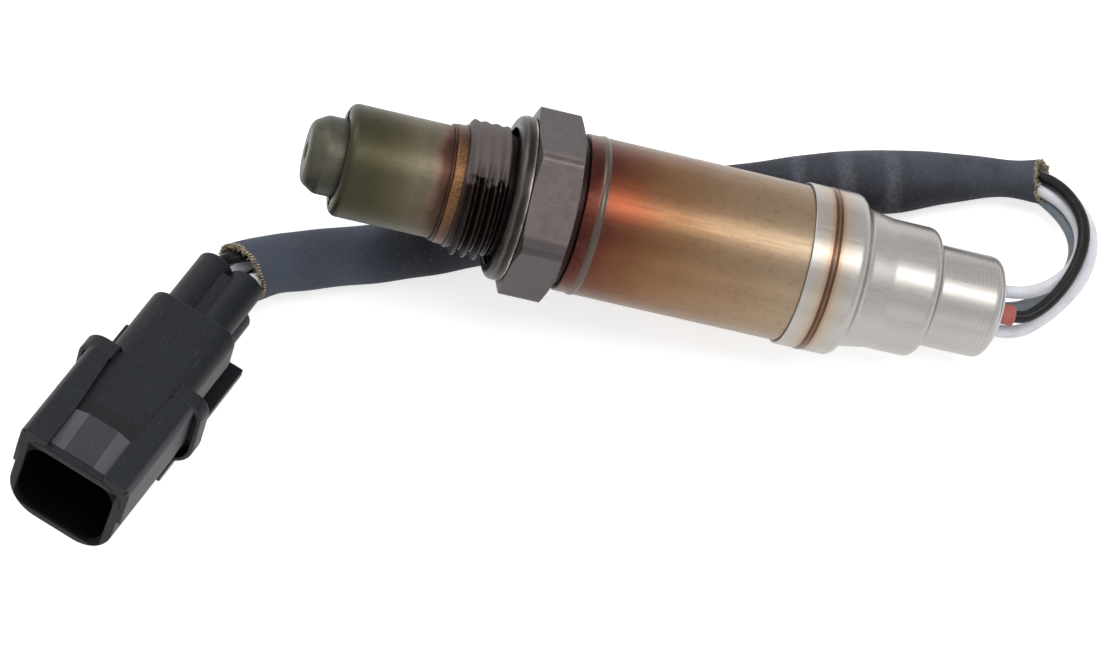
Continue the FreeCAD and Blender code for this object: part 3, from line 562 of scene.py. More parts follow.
def hoseRadius(travel, angle, total):
    # Radius by place and angle: half the tube's diameter times the pinch share by place, with slow lumps made
    # of a few seeded waves, and creases that dent the top across the tube and swell beside the dent
    random = np.random.default_rng(hose["seed"])
    places, shares = zip(*hose["pinch"])
    pinch = np.interp(travel[:, 0], places, shares)
    kernel = np.hanning(hose["pinchBlur"])
    padded = np.pad(pinch, hose["pinchBlur"] // 2, mode="edge")
    radius = (hoseSize["dia"] / 2 - hose["slack"]) * np.convolve(padded, kernel / kernel.sum(), "valid")
    radius = radius[:, None]
    flare, reach = hose["flare"]
    radius = radius * (1 + (flare - 1) * smoothStep(total - reach, total, travel))
    for turns in range(1, 6):
        for wave in hose["lumps"]:
            phase = random.uniform(0, fullTurn, 2)
            size = hose["lumpSize"] / turns ** 0.7
            alongWave = np.sin(fullTurn * travel / wave + phase[1])
            radius = radius + size * np.sin(turns * angle + phase[0]) * alongWave
    top = smoothStep(0.2, 0.95, np.cos(angle - np.radians(hose["creaseTurn"])))
    for place, depth, width in hose["creases"]:
        slant = (travel - place - hose["creaseSlant"] * np.sin(angle + place)) / width
        radius = radius - depth * top * (np.exp(-(slant ** 2)) - 0.3 * np.exp(-((slant - 1.6) ** 2)))
    return radius


def makeHose():
    # Skin and lining at the same stations, slid along the tube near both ends for the slant and the torn rims
    line = splineLine(placed([(x, y, hoseSize["dia"] / 2 + arch) for x, y, arch in hoseRoute], surfacePlace))
    travel, centre, ahead, angle, ring = tubeFrames(line, hose["stations"], hose["around"])
    left = travel[-1] - travel
    outer = hoseRadius(travel[:, None], angle[None], travel[-1])
    inner = np.clip(outer - hoseSize["wall"], hose["leastInside"], None)
    wander, shown = hose["ragged"]
    random = np.random.default_rng(hose["seed"] + 1)
    ragged = random.normal(size=(2, len(angle))).cumsum(1)
    ragged = ragged - np.linspace(0, 1, len(angle)) * (ragged[:, -1:] - ragged[:, :1])
    ragged = wander * (ragged - ragged.mean(1, keepdims=True)) / np.abs(ragged).max()
    slide = ragged[0] * np.exp(-travel / shown)[:, None] + ragged[1] * np.exp(-left / shown)[:, None]
    slant = hose["slant"][0] * ring[..., 1] + hose["slant"][1] * ring[..., 2]
    slide = slide + slant * np.exp(-left / hose["cutReach"])[:, None]
    slide = slide + hose["openEnd"] * ring[..., 2] * np.exp(-travel / hose["cutReach"])[:, None]
    base = centre[:, None] + ahead[:, None] * slide[..., None]
    low = surfaceHeight + 0.02
    skin = base + ring * outer[..., None]
    skin[..., 2] = np.maximum(skin[..., 2], low)
    lining = base + ring * inner[..., None]
    lining[..., 2] = np.maximum(lining[..., 2], low + hoseSize["wall"])
    piece = gridPiece("insulating_sleeve_braid", np.concatenate([skin, lining[::-1]]), framePlace, True, 50)
    ends = [(skin[spot], lining[spot], ring[spot], ahead[spot]) for spot in (0, -1)]
    return piece, line, ends


def hoseFinish(run):
    # Coated glass braid: two families of fine slanting threads, blue-grey with painted shade that darkens it
    # to near-black navy by the sensor and under it, dusty on its upper side, tan at the two torn rims
    material, tree, shader = newFinish("coatedBraid", 0.0, 0.7, 0.22)
    around, travel, _ = parted(tree, addNode(tree, "ShaderNodeUVMap", uv_map="along").outputs[0])
    coords = localCoords(tree)
    rowX, rowY, _ = parted(tree, coords)
    turns = times(tree, around, hose["threads"] * fullTurn)
    climb = times(tree, travel, fullTurn / hose["threadPitch"])
    first = mathOf(tree, "SINE", mathOf(tree, "ADD", turns, climb))
    second = mathOf(tree, "SINE", mathOf(tree, "SUBTRACT", turns, climb))
    weave = summed(tree, (first, second), (first, 0.3))
    cloud = noise(tree, coords, 0.16, 4.0)
    mottle = noise(tree, coords, 1.8, 5.0, 0.7)
    speck = noise(tree, coords, 5.0, 3.0, 0.8)
    dusty = times(tree, spread(tree, rowY, 12.0, 22.0), spread(tree, cloud, 0.35, 0.65, 0.35, 1.0), 0.6)
    # Painted shade: near-black navy by the sensor, fading to the sleeve's blue-grey between x = -9 and -21 mm
    tone = blended(tree, spread(tree, rowX, -9.0, -21.0), (39, 41, 50), (71, 78, 91))
    tone = blended(tree, dusty, tone, (98, 101, 110))
    for place, _, width in hose["creases"][:3]:
        away = distanceFrom(tree, travel, place - 1.0)
        band = times(tree, spread(tree, away, 1.5 * width, 0.3), spread(tree, mottle, 0.35, 0.6, 0.2, 0.5))
        tone = blended(tree, band, tone, (112, 115, 122))
    # Painted shade: darker still where the sleeve passes under the sensor
    lean = mathOf(tree, "SUBTRACT", rowY, times(tree, rowX, 0.33))
    under = window(tree, rowX, (-18.5, -12.5), (16.0, 8.0))
    under = times(tree, under, spread(tree, lean, -2.5, 4.0, 0.25, 0.9))
    tone = blended(tree, under, tone, (20, 22, 27))
    tone = layered(tree, tone, (cloud, 0.32, 0.68, 0.3, (44, 47, 56)))
    tone = layered(tree, tone, (mottle, 0.5, 0.75, 0.3, (92, 96, 104)))
    tone = blended(tree, scaled(tree, weave, -1.0, 0.2, 0.2, 0.0), tone, (22, 24, 30))
    nearRim = mathOf(tree, "MINIMUM", travel, mathOf(tree, "SUBTRACT", run, travel))
    beads = mathOf(tree, "SINE", times(tree, around, hose["beads"] * fullTurn))
    beads = spread(tree, wandered(tree, beads, speck, 4.0), -0.5, 0.5)
    torn = blended(tree, beads, (50, 42, 36), (176, 162, 138))
    tone = layered(
        tree, tone,
        (speck, 0.62, 0.7, 0.6, (126, 128, 132)),
        (wandered(tree, nearRim, mottle, 1.2), 0.45, 0.2, 1.0, torn),
    )
    dress(tree, shader, tone, None, summed(tree, (weave, 0.35), (mottle, 1.4)), 0.07, 0.7)
    return material


fray = {
    "threads": 420, "length": (0.15, 0.5), "thickness": 0.09, "seed": 5, "stations": 6, "sides": 4,
    "rooted": 0.15,  # how deep in the rim the threads start
    "scatter": 0.06, "lean": 0.3, "sweep": 0.8, "curl": 0.45,  # spreads of their feet, directions and bends
}


def frayFinish():
    material, tree, shader = newFinish("frayedGlass", 0.0, 0.7, 0.3)
    patches = noise(tree, localCoords(tree), 1.4, 3.0)
    dress(tree, shader, ramp(tree, patches, [(0.35, (84, 70, 54)), (0.65, (184, 170, 146))]))
    return material


def makeFray(name, skin, lining, ring, outward, seed):
    # Fine glass threads that stand out of the torn rim: each is a thin tapering tube along a bent line,
    # start + length * (away * t + bend * t squared)
    random = np.random.default_rng(seed)
    count = fray["threads"]
    pick = random.integers(0, len(skin), count)
    ring = ring[pick]
    rimWay = np.cross(ring, outward)
    start = lining[pick] + (skin[pick] - lining[pick]) * random.uniform(0.1, 0.9, count)[:, None]
    start = start + rimWay * random.normal(0, fray["scatter"], count)[:, None] - outward * fray["rooted"]
    away = outward + ring * random.normal(0, fray["lean"], count)[:, None]
    away = away + rimWay * random.normal(0, fray["sweep"], count)[:, None]
    length = random.uniform(*fray["length"], count)
    bend = random.normal(0, fray["curl"], (count, 3))
    share = np.linspace(0, 1, fray["stations"])
    line = away[:, None] * share[None, :, None] + bend[:, None] * share[None, :, None] ** 2
    line = start[:, None] + length[:, None, None] * line
    line[..., 2] = np.maximum(line[..., 2], surfaceHeight + 0.15)
    tangent = unit(np.gradient(line, axis=1))
    firstSide = unit(np.cross(tangent, [0.31, 0.17, 0.93]))
    secondSide = np.cross(firstSide, tangent)
    turn = np.linspace(0, fullTurn, fray["sides"], endpoint=False)
    thick = fray["thickness"] * random.uniform(0.7, 1.5, count)[:, None] * (1 - 0.75 * share)
    points = line[:, :, None] + thick[..., None, None] * (
        firstSide[:, :, None] * np.cos(turn)[:, None] + secondSide[:, :, None] * np.sin(turn)[:, None]
    )
    index = np.arange(count * len(share) * len(turn)).reshape(count, len(share), len(turn))
    low, high = index[:, :-1], index[:, 1:]
    sides = np.stack([low, high, np.roll(high, -1, 2), np.roll(low, -1, 2)], -1).reshape(-1, 4)
    caps = np.concatenate([index[:, 0, ::-1], index[:, -1]])
    return meshPiece(name, points.reshape(-1, 3) * mm, np.concatenate([sides, caps]), None, 60)


hosePiece, hoseLine, hoseEnds = makeHose()
hoseMaterial = hoseFinish(float(travelled(hoseLine)[-1] / mm))
finishPiece(hosePiece, hoseMaterial, "hose_fabric", "insulating_sleeve")
frayMaterial = frayFinish()
for number, (skin, lining, ring, ahead) in enumerate(hoseEnds):
    outward = ahead * (2 * number - 1)
    end = makeFray("sleeve_fray_" + str(number + 1), skin, lining, ring, outward, fray["seed"] + number)
    finishPiece(end, frayMaterial, "hose_fabric")
print("insulating sleeve made")

# Threaded body with its hexagon
body = {
    "across": 22.0, "front": 2.2, "width": 6.2, "faceDia": 22.4, "chamfer": 0.4, "cornerLoss": 0.18,
    "thread": 18.0, "pitch": 1.5, "depth": 0.92, "crest": 0.25, "threadFront": -6.3, "threadRear": -0.3,
    "threadRows": 97, "fade": 0.8, "nose": -7.8, "collarDia": 15.8, "relief": 15.9, "bore": 8.8,
    "filled": 0.8, "filledSpan": (1.1, 1.5),  # how full the paste makes each groove, and how far round
    "neck": 11.02,  # radius of the faces beside the hexagon
    "tail": (  # from behind the hexagon to the crimped rim, then back through the bore
        (9.3, 9.8), (9.3, 9.98), (13.5, 9.98), (13.5, 7.4), (15.0, 7.4, 0.6), (15.0, 5.3), (14.3, 5.3),
        (14.3, 6.3), (-0.6, 6.3), (-2.2, 4.4),
    ),
}


def housingShape(x, radius, angle):
    # Thread: root radius plus depth times a trapezoid wave of (x over pitch less turns), faded at both ends.
    # On the upper side paste fills part of each groove. Hexagon: the flat's distance over the cosine of the
    # angle from its middle, no more than its rounded corner or the chamfer cone
    front, rear = body["threadFront"], body["threadRear"]
    root = body["thread"] / 2 - body["depth"]
    flank = body["depth"] * np.tan(np.radians(30))
    phase = (x - front) / body["pitch"] - angle / fullTurn
    off = np.abs(phase % 1.0 - 0.5) * body["pitch"]
    tooth = np.clip(1 - (off - body["crest"] / 2) / flank, 0, 1)
    fade = smoothStep(front + 0.15, front + body["fade"], x)
    fade = fade * (1 - smoothStep(rear - body["fade"], rear - 0.1, x))
    threaded = (x > front + 0.001) & (x < rear - 0.001) & (radius > 7.0)
    away = np.angle(np.exp(1j * (angle - np.arctan2(upperSide[2], upperSide[1]))))
    filled = body["filled"] * (1 - smoothStep(*body["filledSpan"], np.abs(away)))
    radius = np.where(threaded, root + body["depth"] * (tooth + (1 - tooth) * filled) * fade, radius)
    flat = body["across"] / 2 / np.cos(angle % (np.pi / 3) - np.pi / 6)
    flat = np.minimum(flat, body["across"] / np.sqrt(3) - body["cornerLoss"])
    hexed = (x > body["front"] - 0.001) & (x < body["front"] + body["width"] + 0.001) & (radius > 11.0)
    return np.where(hexed, np.minimum(radius, flat), radius)


def openLine(*corners):
    return outline([(*corner, 0) if len(corner) == 2 else corner for corner in corners], False)


def housingLine():
    # The body's outer line from the nose to the crimped rim, then back through its bore
    front, rear = body["front"], body["front"] + body["width"]
    threadFront, threadRear, chamfer = body["threadFront"], body["threadRear"], body["chamfer"]
    corner, face, neck = body["across"] / np.sqrt(3), body["faceDia"] / 2, body["neck"]
    collar, relief = body["collarDia"] / 2, body["relief"] / 2
    places = np.linspace(threadFront, threadRear, body["threadRows"])
    share = np.linspace(0, 1, 7)
    rise = face + (corner - face) * share
    flats = np.linspace(front + chamfer + 0.05, rear - chamfer - 0.05, 6)
    return np.concatenate([
        openLine((body["nose"], body["bore"] / 2), (body["nose"], collar, 0.25), (threadFront, collar)),
        np.stack([places, np.full(len(places), body["thread"] / 2 - body["depth"])], 1),
        openLine((threadRear, relief), (front, relief), (front, neck)),
        np.stack([front + chamfer * share, rise], 1),
        np.stack([flats, np.full(len(flats), corner)], 1),
        np.stack([rear - chamfer * share, rise], 1)[::-1],
        openLine((rear, neck), (rear, body["tail"][0][1]), *body["tail"]),
    ])


# The side of the sensor that lies uppermost in the picture, square to its axis, in its own axes
upperSide = sensorTurn.T @ np.array([-0.14, 0.93, 0.34])
upperSide[0] = 0.0
upperSide = unit(upperSide)


def facingOf(tree, coords):
    # How far a point lies towards the upper side, in millimetres from the axis
    inputs = {0: coords, 1: tuple(upperSide)}
    return addNode(tree, "ShaderNodeVectorMath", inputs, operation="DOT_PRODUCT").outputs[1]


def bodyFinish():
    # Heat-tinted steel by place along the axis: brassy nose collar, near-black thread with grey assembly
    # paste on its upper side, mauve-grey hexagon with fine scratches and painted shade on its upper and
    # lower flats, dark groove behind it
    material, tree, shader = newFinish("bodySteel", 1.0, 0.42)
    coords = localCoords(tree, "sensor")
    axial, facing = parted(tree, coords)[0], facingOf(tree, coords)
    cloud = noise(tree, coords, 0.5, 5.0, 0.6)
    grain = noise(tree, coords, 3.2, 6.0, 0.7)
    streak = noise(tree, localCoords(tree, "sensor", (0.4, 5.0, 5.0)), 0.9, 4.0, 0.7)
    tone = ramp(tree, scaled(tree, wandered(tree, axial, cloud, 0.5), -9.0, 11.0), [
        (0.0, (96, 66, 46)),
        (0.08, (84, 56, 42)),
        (0.125, (64, 42, 35)),
        (0.15, (38, 27, 25)),
        (0.43, (30, 21, 20)),
        (0.5, (34, 28, 27)),
        (0.57, (89, 81, 81)),
        (0.86, (87, 79, 78)),
        (0.88, (40, 26, 24)),
        (1.0, (46, 28, 25)),
    ])
    ragged = wandered(tree, facing, noise(tree, coords, 0.9, 4.0, 0.6), 5.0)
    paste = times(tree, spread(tree, ragged, 0.1, 1.2), window(tree, axial, (-6.4, -5.8), (-0.2, -0.9)))
    tone = blended(tree, paste, tone, blended(tree, grain, (72, 64, 63), (100, 91, 90)))
    hexed = window(tree, axial, (2.0, 2.3), (8.5, 8.3))
    scratch = times(tree, hexed, spread(tree, streak, 0.58, 0.8, 0.0, 0.3))
    tone = blended(tree, scratch, tone, (158, 146, 142))
    gold = times(tree, spread(tree, axial, -6.3, -6.6, 0.0, 0.7), spread(tree, grain, 0.35, 0.6))
    gold = times(tree, gold, window(tree, facing, (-7.5, -1.5), (6.2, 3.6)))
    tone = blended(tree, gold, tone, (124, 90, 56))
    worn = times(tree, hexed, spread(tree, cloud, 0.35, 0.65, 0.0, 0.4))
    tone = blended(tree, worn, tone, (110, 100, 98))
    # Painted shade: the hexagon's upper and lower flats darkened as if turned away from the light
    paintedShadeHighFlat, paintedShadeLowFlat = spread(tree, facing, 6.0, 6.6, 0.0, 0.5), spread(tree, facing, -4.9, -5.5, 0.0, 0.65)
    tone = blended(tree, times(tree, mathOf(tree, "ADD", paintedShadeHighFlat, paintedShadeLowFlat), hexed), tone, (60, 55, 56))
    gloss = summed(tree, (scaled(tree, grain, 0.2, 0.8, 0.3, 0.52), 1.0), (paste, 0.3))
    tree.links.new(spread(tree, paste, 0.1, 0.8, 0.9, 0.4), shader.inputs["Metallic"])
    dress(tree, shader, tone, gloss, summed(tree, (grain, 0.6), (streak, 0.4)), 0.05)
    return material


bodyGrid = turnedGrid(housingLine(), 360, shape=housingShape)
bodyPiece = gridPiece("threaded_body", bodyGrid, sensorPlace, True, 28)
finishPiece(bodyPiece, bodyFinish(), "body_steel", "sensor_housing")
print("threaded body made")

# Captive gasket, folded from sheet
gasket = {
    "width": 2.2, "dia": 22.0, "bore": 18.3, "backBore": 16.5, "sheet": 0.4, "round": 1.1, "fold": 0.85,
    "foldDepth": 0.9, "waves": ((3, 0.6, 0.03), (7, 0.0, 0.02)),  # waves round it: count, start, height
}


def gasketFinish():
    # Steel by place across the ring: dull skin, painted shade in the fold, and a painted highlight along the
    # edge towards the hexagon
    material, tree, shader = newFinish("gasketSteel", 1.0, 0.34)
    coords = localCoords(tree, "sensor")
    cloud = noise(tree, coords, 0.45, 4.0, 0.6)
    grain = noise(tree, localCoords(tree, "sensor", (6.0, 1.0, 1.0)), 0.8, 5.0, 0.7)
    along = wandered(tree, parted(tree, coords)[0], cloud, 0.3)
    tone = ramp(tree, scaled(tree, along, -0.2, 2.4), [
        (0.0, (50, 46, 43)),
        (0.22, (56, 52, 49)),
        (0.36, (80, 79, 74)),
        # Painted shade in the fold
        (0.48, (42, 35, 33)),
        (0.66, (50, 45, 42)),
        (0.78, (78, 76, 72)),
        # Painted highlight along the rounded edge towards the hexagon
        (0.84, (176, 174, 168)),
        (0.91, (150, 146, 140)),
        (0.95, (48, 42, 40)),
    ])
    tone = layered(tree, tone, (grain, 0.5, 0.8, 0.4, (40, 36, 34)))
    dress(tree, shader, tone, scaled(tree, grain, 0.2, 0.8, 0.26, 0.5), grain)
    return material


def gasketWave(x, radius, angle):
    # The folded sheet isn't quite round: slow waves on its outside, a twentieth of a millimetre high at most
    wave = sum(height * np.sin(count * angle + start) for count, start, height in gasket["waves"])
    return radius + wave * smoothStep(9.4, 10.8, radius)


def makeGasket():
    width, sheet, fold = gasket["width"], gasket["sheet"], gasket["fold"]
    outer, bore, backBore = gasket["dia"] / 2, gasket["bore"] / 2, gasket["backBore"] / 2
    wall = outer - sheet
    return turnedPiece("folded_gasket", [
        (0, bore, 0.12),
        (0, outer - 0.03, gasket["round"]),
        (width * 0.55, outer - 0.05, 0),
        (width, outer - 0.1, 0.3),
        (width, backBore, 0.1),
        (width - sheet, backBore, 0.1),
        (width - sheet, wall, 0),
        (fold + sheet, wall, 0),
        (fold + sheet, wall - gasket["foldDepth"], 0.1),
        (fold, wall - gasket["foldDepth"], 0.1),
        (fold, wall, 0),
        (sheet, wall, 0),
        (sheet, bore, 0.12),
    ], shape=gasketWave)


finishPiece(makeGasket(), gasketFinish(), "gasket_steel", "gasket")

# Protection tubes round the sensing tip
tubes = {
    "front": -21.8, "rear": -8.2, "dia": 15.0, "sheet": 0.4, "round": 1.2, "flangeDia": 15.6, "lipBore": 11.1,
    "notches": 6, "notchWidth": 1.6, "notchDepth": 0.9,
    "knobFront": -26.2, "knobDia": 10.4, "faceDia": 8.0, "cone": 2.0, "hole": 2.3, "knobRound": 1.4,
    "knobFlange": (7.2, -7.8),  # radius and rear face of the inner tube's flange
}


def lipNotches(x, radius, angle):
    # The lip's bore steps out by the notch depth wherever the angle lies inside one of six notches
    turn = (angle - np.radians(30)) % (fullTurn / tubes["notches"]) - np.pi / tubes["notches"]
    half = tubes["notchWidth"] / 2
    inside = 1 - smoothStep(half - 0.12, half + 0.12, np.abs(turn) * radius)
    lip = (x < tubes["front"] + 0.6) & (radius < tubes["lipBore"] / 2 + 0.2)
    return np.where(lip, radius + tubes["notchDepth"] * inside, radius)


def outerTubeFinish():
    # Khaki heat tint along the axis: olive at the lip, brass and brown by the collar, painted shade
    # underneath
    material, tree, shader = newFinish("tubeSteel", 1.0, 0.36)
    coords = localCoords(tree, "sensor")
    cloud = noise(tree, coords, 0.2, 4.0, 0.6)
    mottle = noise(tree, coords, 0.7, 5.0, 0.65)
    grain = noise(tree, localCoords(tree, "sensor", (0.6, 4.0, 4.0)), 0.8, 5.0, 0.7)
    along = wandered(tree, parted(tree, coords)[0], cloud, 3.5)
    tone = ramp(tree, scaled(tree, along, -22.5, -7.5), [
        (0.0, (50, 49, 42)),
        (0.08, (62, 60, 48)),
        (0.3, (66, 62, 46)),
        (0.52, (80, 75, 58)),
        (0.68, (97, 91, 74)),
        (0.76, (94, 88, 74)),
        (0.82, (104, 88, 76)),
        (0.87, (92, 72, 61)),
        (0.9, (76, 53, 45)),
        (0.95, (64, 43, 36)),
        (1.0, (56, 34, 30)),
    ])
    tone = layered(
        tree, tone,
        (mottle, 0.45, 0.75, 0.35, (66, 62, 48)),
        (grain, 0.5, 0.8, 0.15, (120, 112, 90)),
        # Painted shade on the underside
        (facingOf(tree, coords), -1.0, -6.5, 0.5, (50, 46, 34)),
    )
    dress(tree, shader, tone, scaled(tree, grain, 0.2, 0.8, 0.34, 0.55), grain)
    return material


def knobFinish():
    # Dull grey-green coned nose, with painted shade at its upper edge and underneath
    material, tree, shader = newFinish("knobSteel", 0.9, 0.46)
    coords = localCoords(tree, "sensor")
    cloud = noise(tree, coords, 0.25, 4.0, 0.6)
    grain = noise(tree, coords, 5.0, 4.0, 0.7)
    facing = facingOf(tree, coords)
    tone = ramp(tree, cloud, [(0.3, (68, 67, 58)), (0.55, (84, 82, 71)), (0.75, (98, 94, 82))])
    # Painted shade at the upper edge and underneath, by how far round the nose faces
    tone = layered(tree, tone, (facing, 0.5, -4.0, 0.6, (44, 44, 38)), (facing, 2.0, 5.0, 0.5, (58, 58, 52)))
    dress(tree, shader, tone, scaled(tree, grain, 0.2, 0.8, 0.36, 0.6), grain)
    return material


def makeOuterTube():
    front, rear, sheet, rounding = tubes["front"], tubes["rear"], tubes["sheet"], tubes["round"]
    skin, flange, lip = tubes["dia"] / 2, tubes["flangeDia"] / 2, tubes["lipBore"] / 2
    return turnedPiece("outer_tube_drawn", [
        (front, lip, 0.12),
        (front, skin, rounding),
        (rear, skin, 0),
        (rear, flange, 0.12),
        (rear + sheet, flange, 0.1),
        (rear + sheet, skin - sheet, 0),
        (front + sheet, skin - sheet, rounding - sheet),
        (front + sheet, lip, 0.12),
    ], count=360, shape=lipNotches)


def makeKnob():
    front, cone, sheet, rounding = tubes["knobFront"], tubes["cone"], tubes["sheet"], tubes["knobRound"]
    skin, face, hole = tubes["knobDia"] / 2, tubes["faceDia"] / 2, tubes["hole"] / 2
    flange, back = tubes["knobFlange"]
    return turnedPiece("inner_tube_drawn", [
        (front, hole, 0.15),
        (front, face, rounding),
        (front + cone, skin, rounding),
        (tubes["rear"], skin, 0),
        (tubes["rear"], flange, 0),
        (back, flange, 0),
        (back, skin - sheet, 0),
        (front + cone + sheet, skin - sheet, 0),
        (front + sheet, face - 0.2, 0),
        (front + sheet, hole, 0.15),
    ])


finishPiece(makeOuterTube(), outerTubeFinish(), "tube_steel", "outer_protection_tube")
finishPiece(makeKnob(), knobFinish(), "knob_steel", "inner_protection_tube")
print("gasket and protection tubes made")

# Protective sleeve and stepped cap
shell = {
    "start": 9.3, "end": 45.5, "dia": 21.0, "wall": 0.5, "weld": 11.6, "weldWidth": 0.8, "weldHeight": 0.16,
    "capStart": 39.8, "capWeld": 43.0, "capWeldWidth": 0.9, "capWeldHeight": 0.08, "skirt": 0.4, "gap": 0.05,
}
capSteps = [  # place, radius, rounding of the cap's two steps and end, outside and then back inside
    (48.1, 9.4, 1.4), (52.0, 8.73, 4.0), (58.15, 8.73, 1.4), (58.65, 6.85, 0.5), (67.8, 6.85, 1.5),
    (67.8, 5.25, 0.1), (67.45, 5.25, 0.1), (67.45, 6.5, 1.15), (58.3, 6.5, 0.5), (57.8, 8.38, 1.05),
    (52.0, 8.38, 0), (47.75, 9.05, 1.4),
]


def weldRipple(place, width, height, wander):
    # A raised bead round the axis: a rounded hump across the seam that wanders a little with the angle
    def shape(x, radius, angle):
        wobble = wander * (np.sin(5 * angle + 1.0) + 0.6 * np.sin(13 * angle))
        hump = np.clip(1 - ((x - place - wobble) / (width / 2)) ** 2, 0, 1) ** 0.7
        return np.where(radius > 10.4, radius + height * hump, radius)
    return shape


def sleeveFinish():
    # Heat tint along the sleeve from copper red through orange and gold to champagne, drawn in long streaks;
    # an orange blush by the weld, part heat tint and part painted highlight, and painted shade along the top
    # edge
    material, tree, shader = newFinish("sleeveSteel", 1.0, 0.3)
    coords = localCoords(tree, "sensor")
    axial, facing = parted(tree, coords)[0], facingOf(tree, coords)
    cloud = noise(tree, coords, 0.12, 3.0, 0.5)
    streak = noise(tree, localCoords(tree, "sensor", (0.12, 2.6, 2.6)), 1.0, 5.0, 0.65)
    grain = noise(tree, coords, 4.0, 4.0, 0.7)
    mottle = noise(tree, coords, 0.9, 5.0, 0.7)
    along = wandered(tree, axial, cloud, 9.0)
    tone = ramp(tree, scaled(tree, along, 9.0, 46.0), [
        (0.0, (64, 33, 29)),
        (0.05, (78, 43, 37)),
        (0.11, (90, 51, 40)),
        (0.2, (102, 67, 47)),
        (0.3, (116, 86, 61)),
        (0.55, (130, 106, 83)),
        (0.75, (139, 120, 98)),
        (1.0, (142, 128, 110)),
    ])
    # Orange blush by the weld, only on the side where the highlight falls: part heat tint, part painted
    # highlight
    patch = window(tree, wandered(tree, facing, mottle, 3.0), (-1.8, 1.2), (6.0, 3.2))
    blushAndPaintedHighlight = times(tree, window(tree, along, (8.5, 12.0), (22.0, 15.0)), patch, 0.6)
    tone = blended(tree, blushAndPaintedHighlight, tone, (140, 74, 50))
    tone = layered(
        tree, tone,
        # Painted shade along the top edge
        (facing, 7.0, 10.2, 0.3, (84, 66, 54)),
        (distanceFrom(tree, axial, shell["weld"]), 0.6, 0.35, 0.85, (84, 79, 74)),
        (streak, 0.5, 0.75, 0.12, (96, 66, 48)),
        (mottle, 0.5, 0.7, 0.28, (90, 66, 50)),
    )
    gloss = scaled(tree, streak, 0.25, 0.75, 0.26, 0.43)
    dress(tree, shader, tone, gloss, summed(tree, (streak, 0.7), (grain, 0.2)), 0.05, 0.35)
    return material


def capFinish():
    # Bright satin stainless; a brown ring on the weld with a tan halo on both sides, turned rings at the end
    material, tree, shader = newFinish("capSteel", 1.0, 0.3)
    coords = localCoords(tree, "sensor")
    axial = parted(tree, coords)[0]
    streak = noise(tree, localCoords(tree, "sensor", (0.15, 2.2, 2.2)), 1.0, 5.0, 0.65)
    ring = noise(tree, localCoords(tree, "sensor", (5.0, 0.6, 0.6)), 1.0, 4.0, 0.6)
    away = distanceFrom(tree, axial, shell["capWeld"])
    away = wandered(tree, away, noise(tree, coords, 0.3, 4.0, 0.6), 0.12)
    tone = layered(
        tree, blended(tree, streak, (150, 147, 143), (170, 165, 161)),
        (away, 3.4, 0.6, 0.5, (158, 138, 110)),
        (away, 1.2, 0.6, 0.55, (146, 106, 72)),
        (away, 0.56, 0.46, 0.95, (76, 54, 44)),
        (away, 0.12, 0.07, 0.6, (124, 102, 86)),
        (ring, 0.55, 0.8, 0.3, (128, 124, 120)),
    )
    turned = mathOf(tree, "SINE", times(tree, axial, fullTurn / 0.55))
    turned = times(tree, turned, spread(tree, axial, 61.5, 64.0))
    tone = blended(tree, scaled(tree, turned, 0.0, 1.0, 0.0, 0.12), tone, (206, 202, 198))
    gloss = scaled(tree, streak, 0.25, 0.75, 0.24, 0.42)
    dress(tree, shader, tone, gloss, summed(tree, (streak, 0.6), (ring, 0.3), (turned, 0.15)), 0.04, 0.2)
    return material


def plainFinish(name, base, other, metallic, roughness, pose="sensor"):
    # Two close tones in soft patches, with a fine grain in the gloss and the relief
    material, tree, shader = newFinish(name, metallic, roughness)
    coords = localCoords(tree, pose)
    cloud = noise(tree, coords, 0.8, 5.0, 0.6)
    grain = noise(tree, coords, 5.0, 4.0, 0.7)
    gloss = scaled(tree, grain, 0.2, 0.8, roughness - 0.08, roughness + 0.1)
    dress(tree, shader, blended(tree, spread(tree, cloud, 0.3, 0.7), base, other), gloss, grain, 0.03, 0.4)
    return material


def sealFinish():
    material, tree, shader = newFinish("redSeal", 0.0, 0.6, 0.4)
    coords = localCoords(tree, "sensor")
    tone = blended(tree, noise(tree, coords, 1.2, 4.0, 0.6), (150, 72, 68), (180, 102, 92))
    dress(tree, shader, tone, None, noise(tree, coords, 6.0, 3.0), 0.03, 0.4)
    return material


def weldRows(place, reach, radius, count):
    # Close rows across a weld, for its bead to rise on
    return [(spot, radius, 0) for spot in np.linspace(place - reach, place + reach, count)]


def makeSleeve():
    start, end, skin = shell["start"], shell["end"], shell["dia"] / 2
    bore = skin - shell["wall"]
    return turnedPiece("drawn_sleeve", [
        (start, bore, 0.1),
        (start, skin, 0.25),
        *weldRows(shell["weld"], 0.55, skin, 9),
        (end, skin, 0.1),
        (end, bore, 0.1),
    ], count=300, step=1.5, shape=weldRipple(shell["weld"], shell["weldWidth"], shell["weldHeight"], 0.02))


def makeCap():
    start, place = shell["capStart"], shell["capWeld"]
    skirt, lining = shell["dia"] / 2 + shell["skirt"], shell["dia"] / 2 + shell["gap"]
    return turnedPiece("drawn_cap", [
        (start, lining, 0.08),
        (start, skirt, 0.12),
        *weldRows(place, 0.8, skirt, 11),
        (47.1, skirt, 1.5),
        *capSteps,
        (46.75, lining, 1.1),
    ], count=300, step=1.5, shape=weldRipple(place, shell["capWeldWidth"], shell["capWeldHeight"], 0.03))


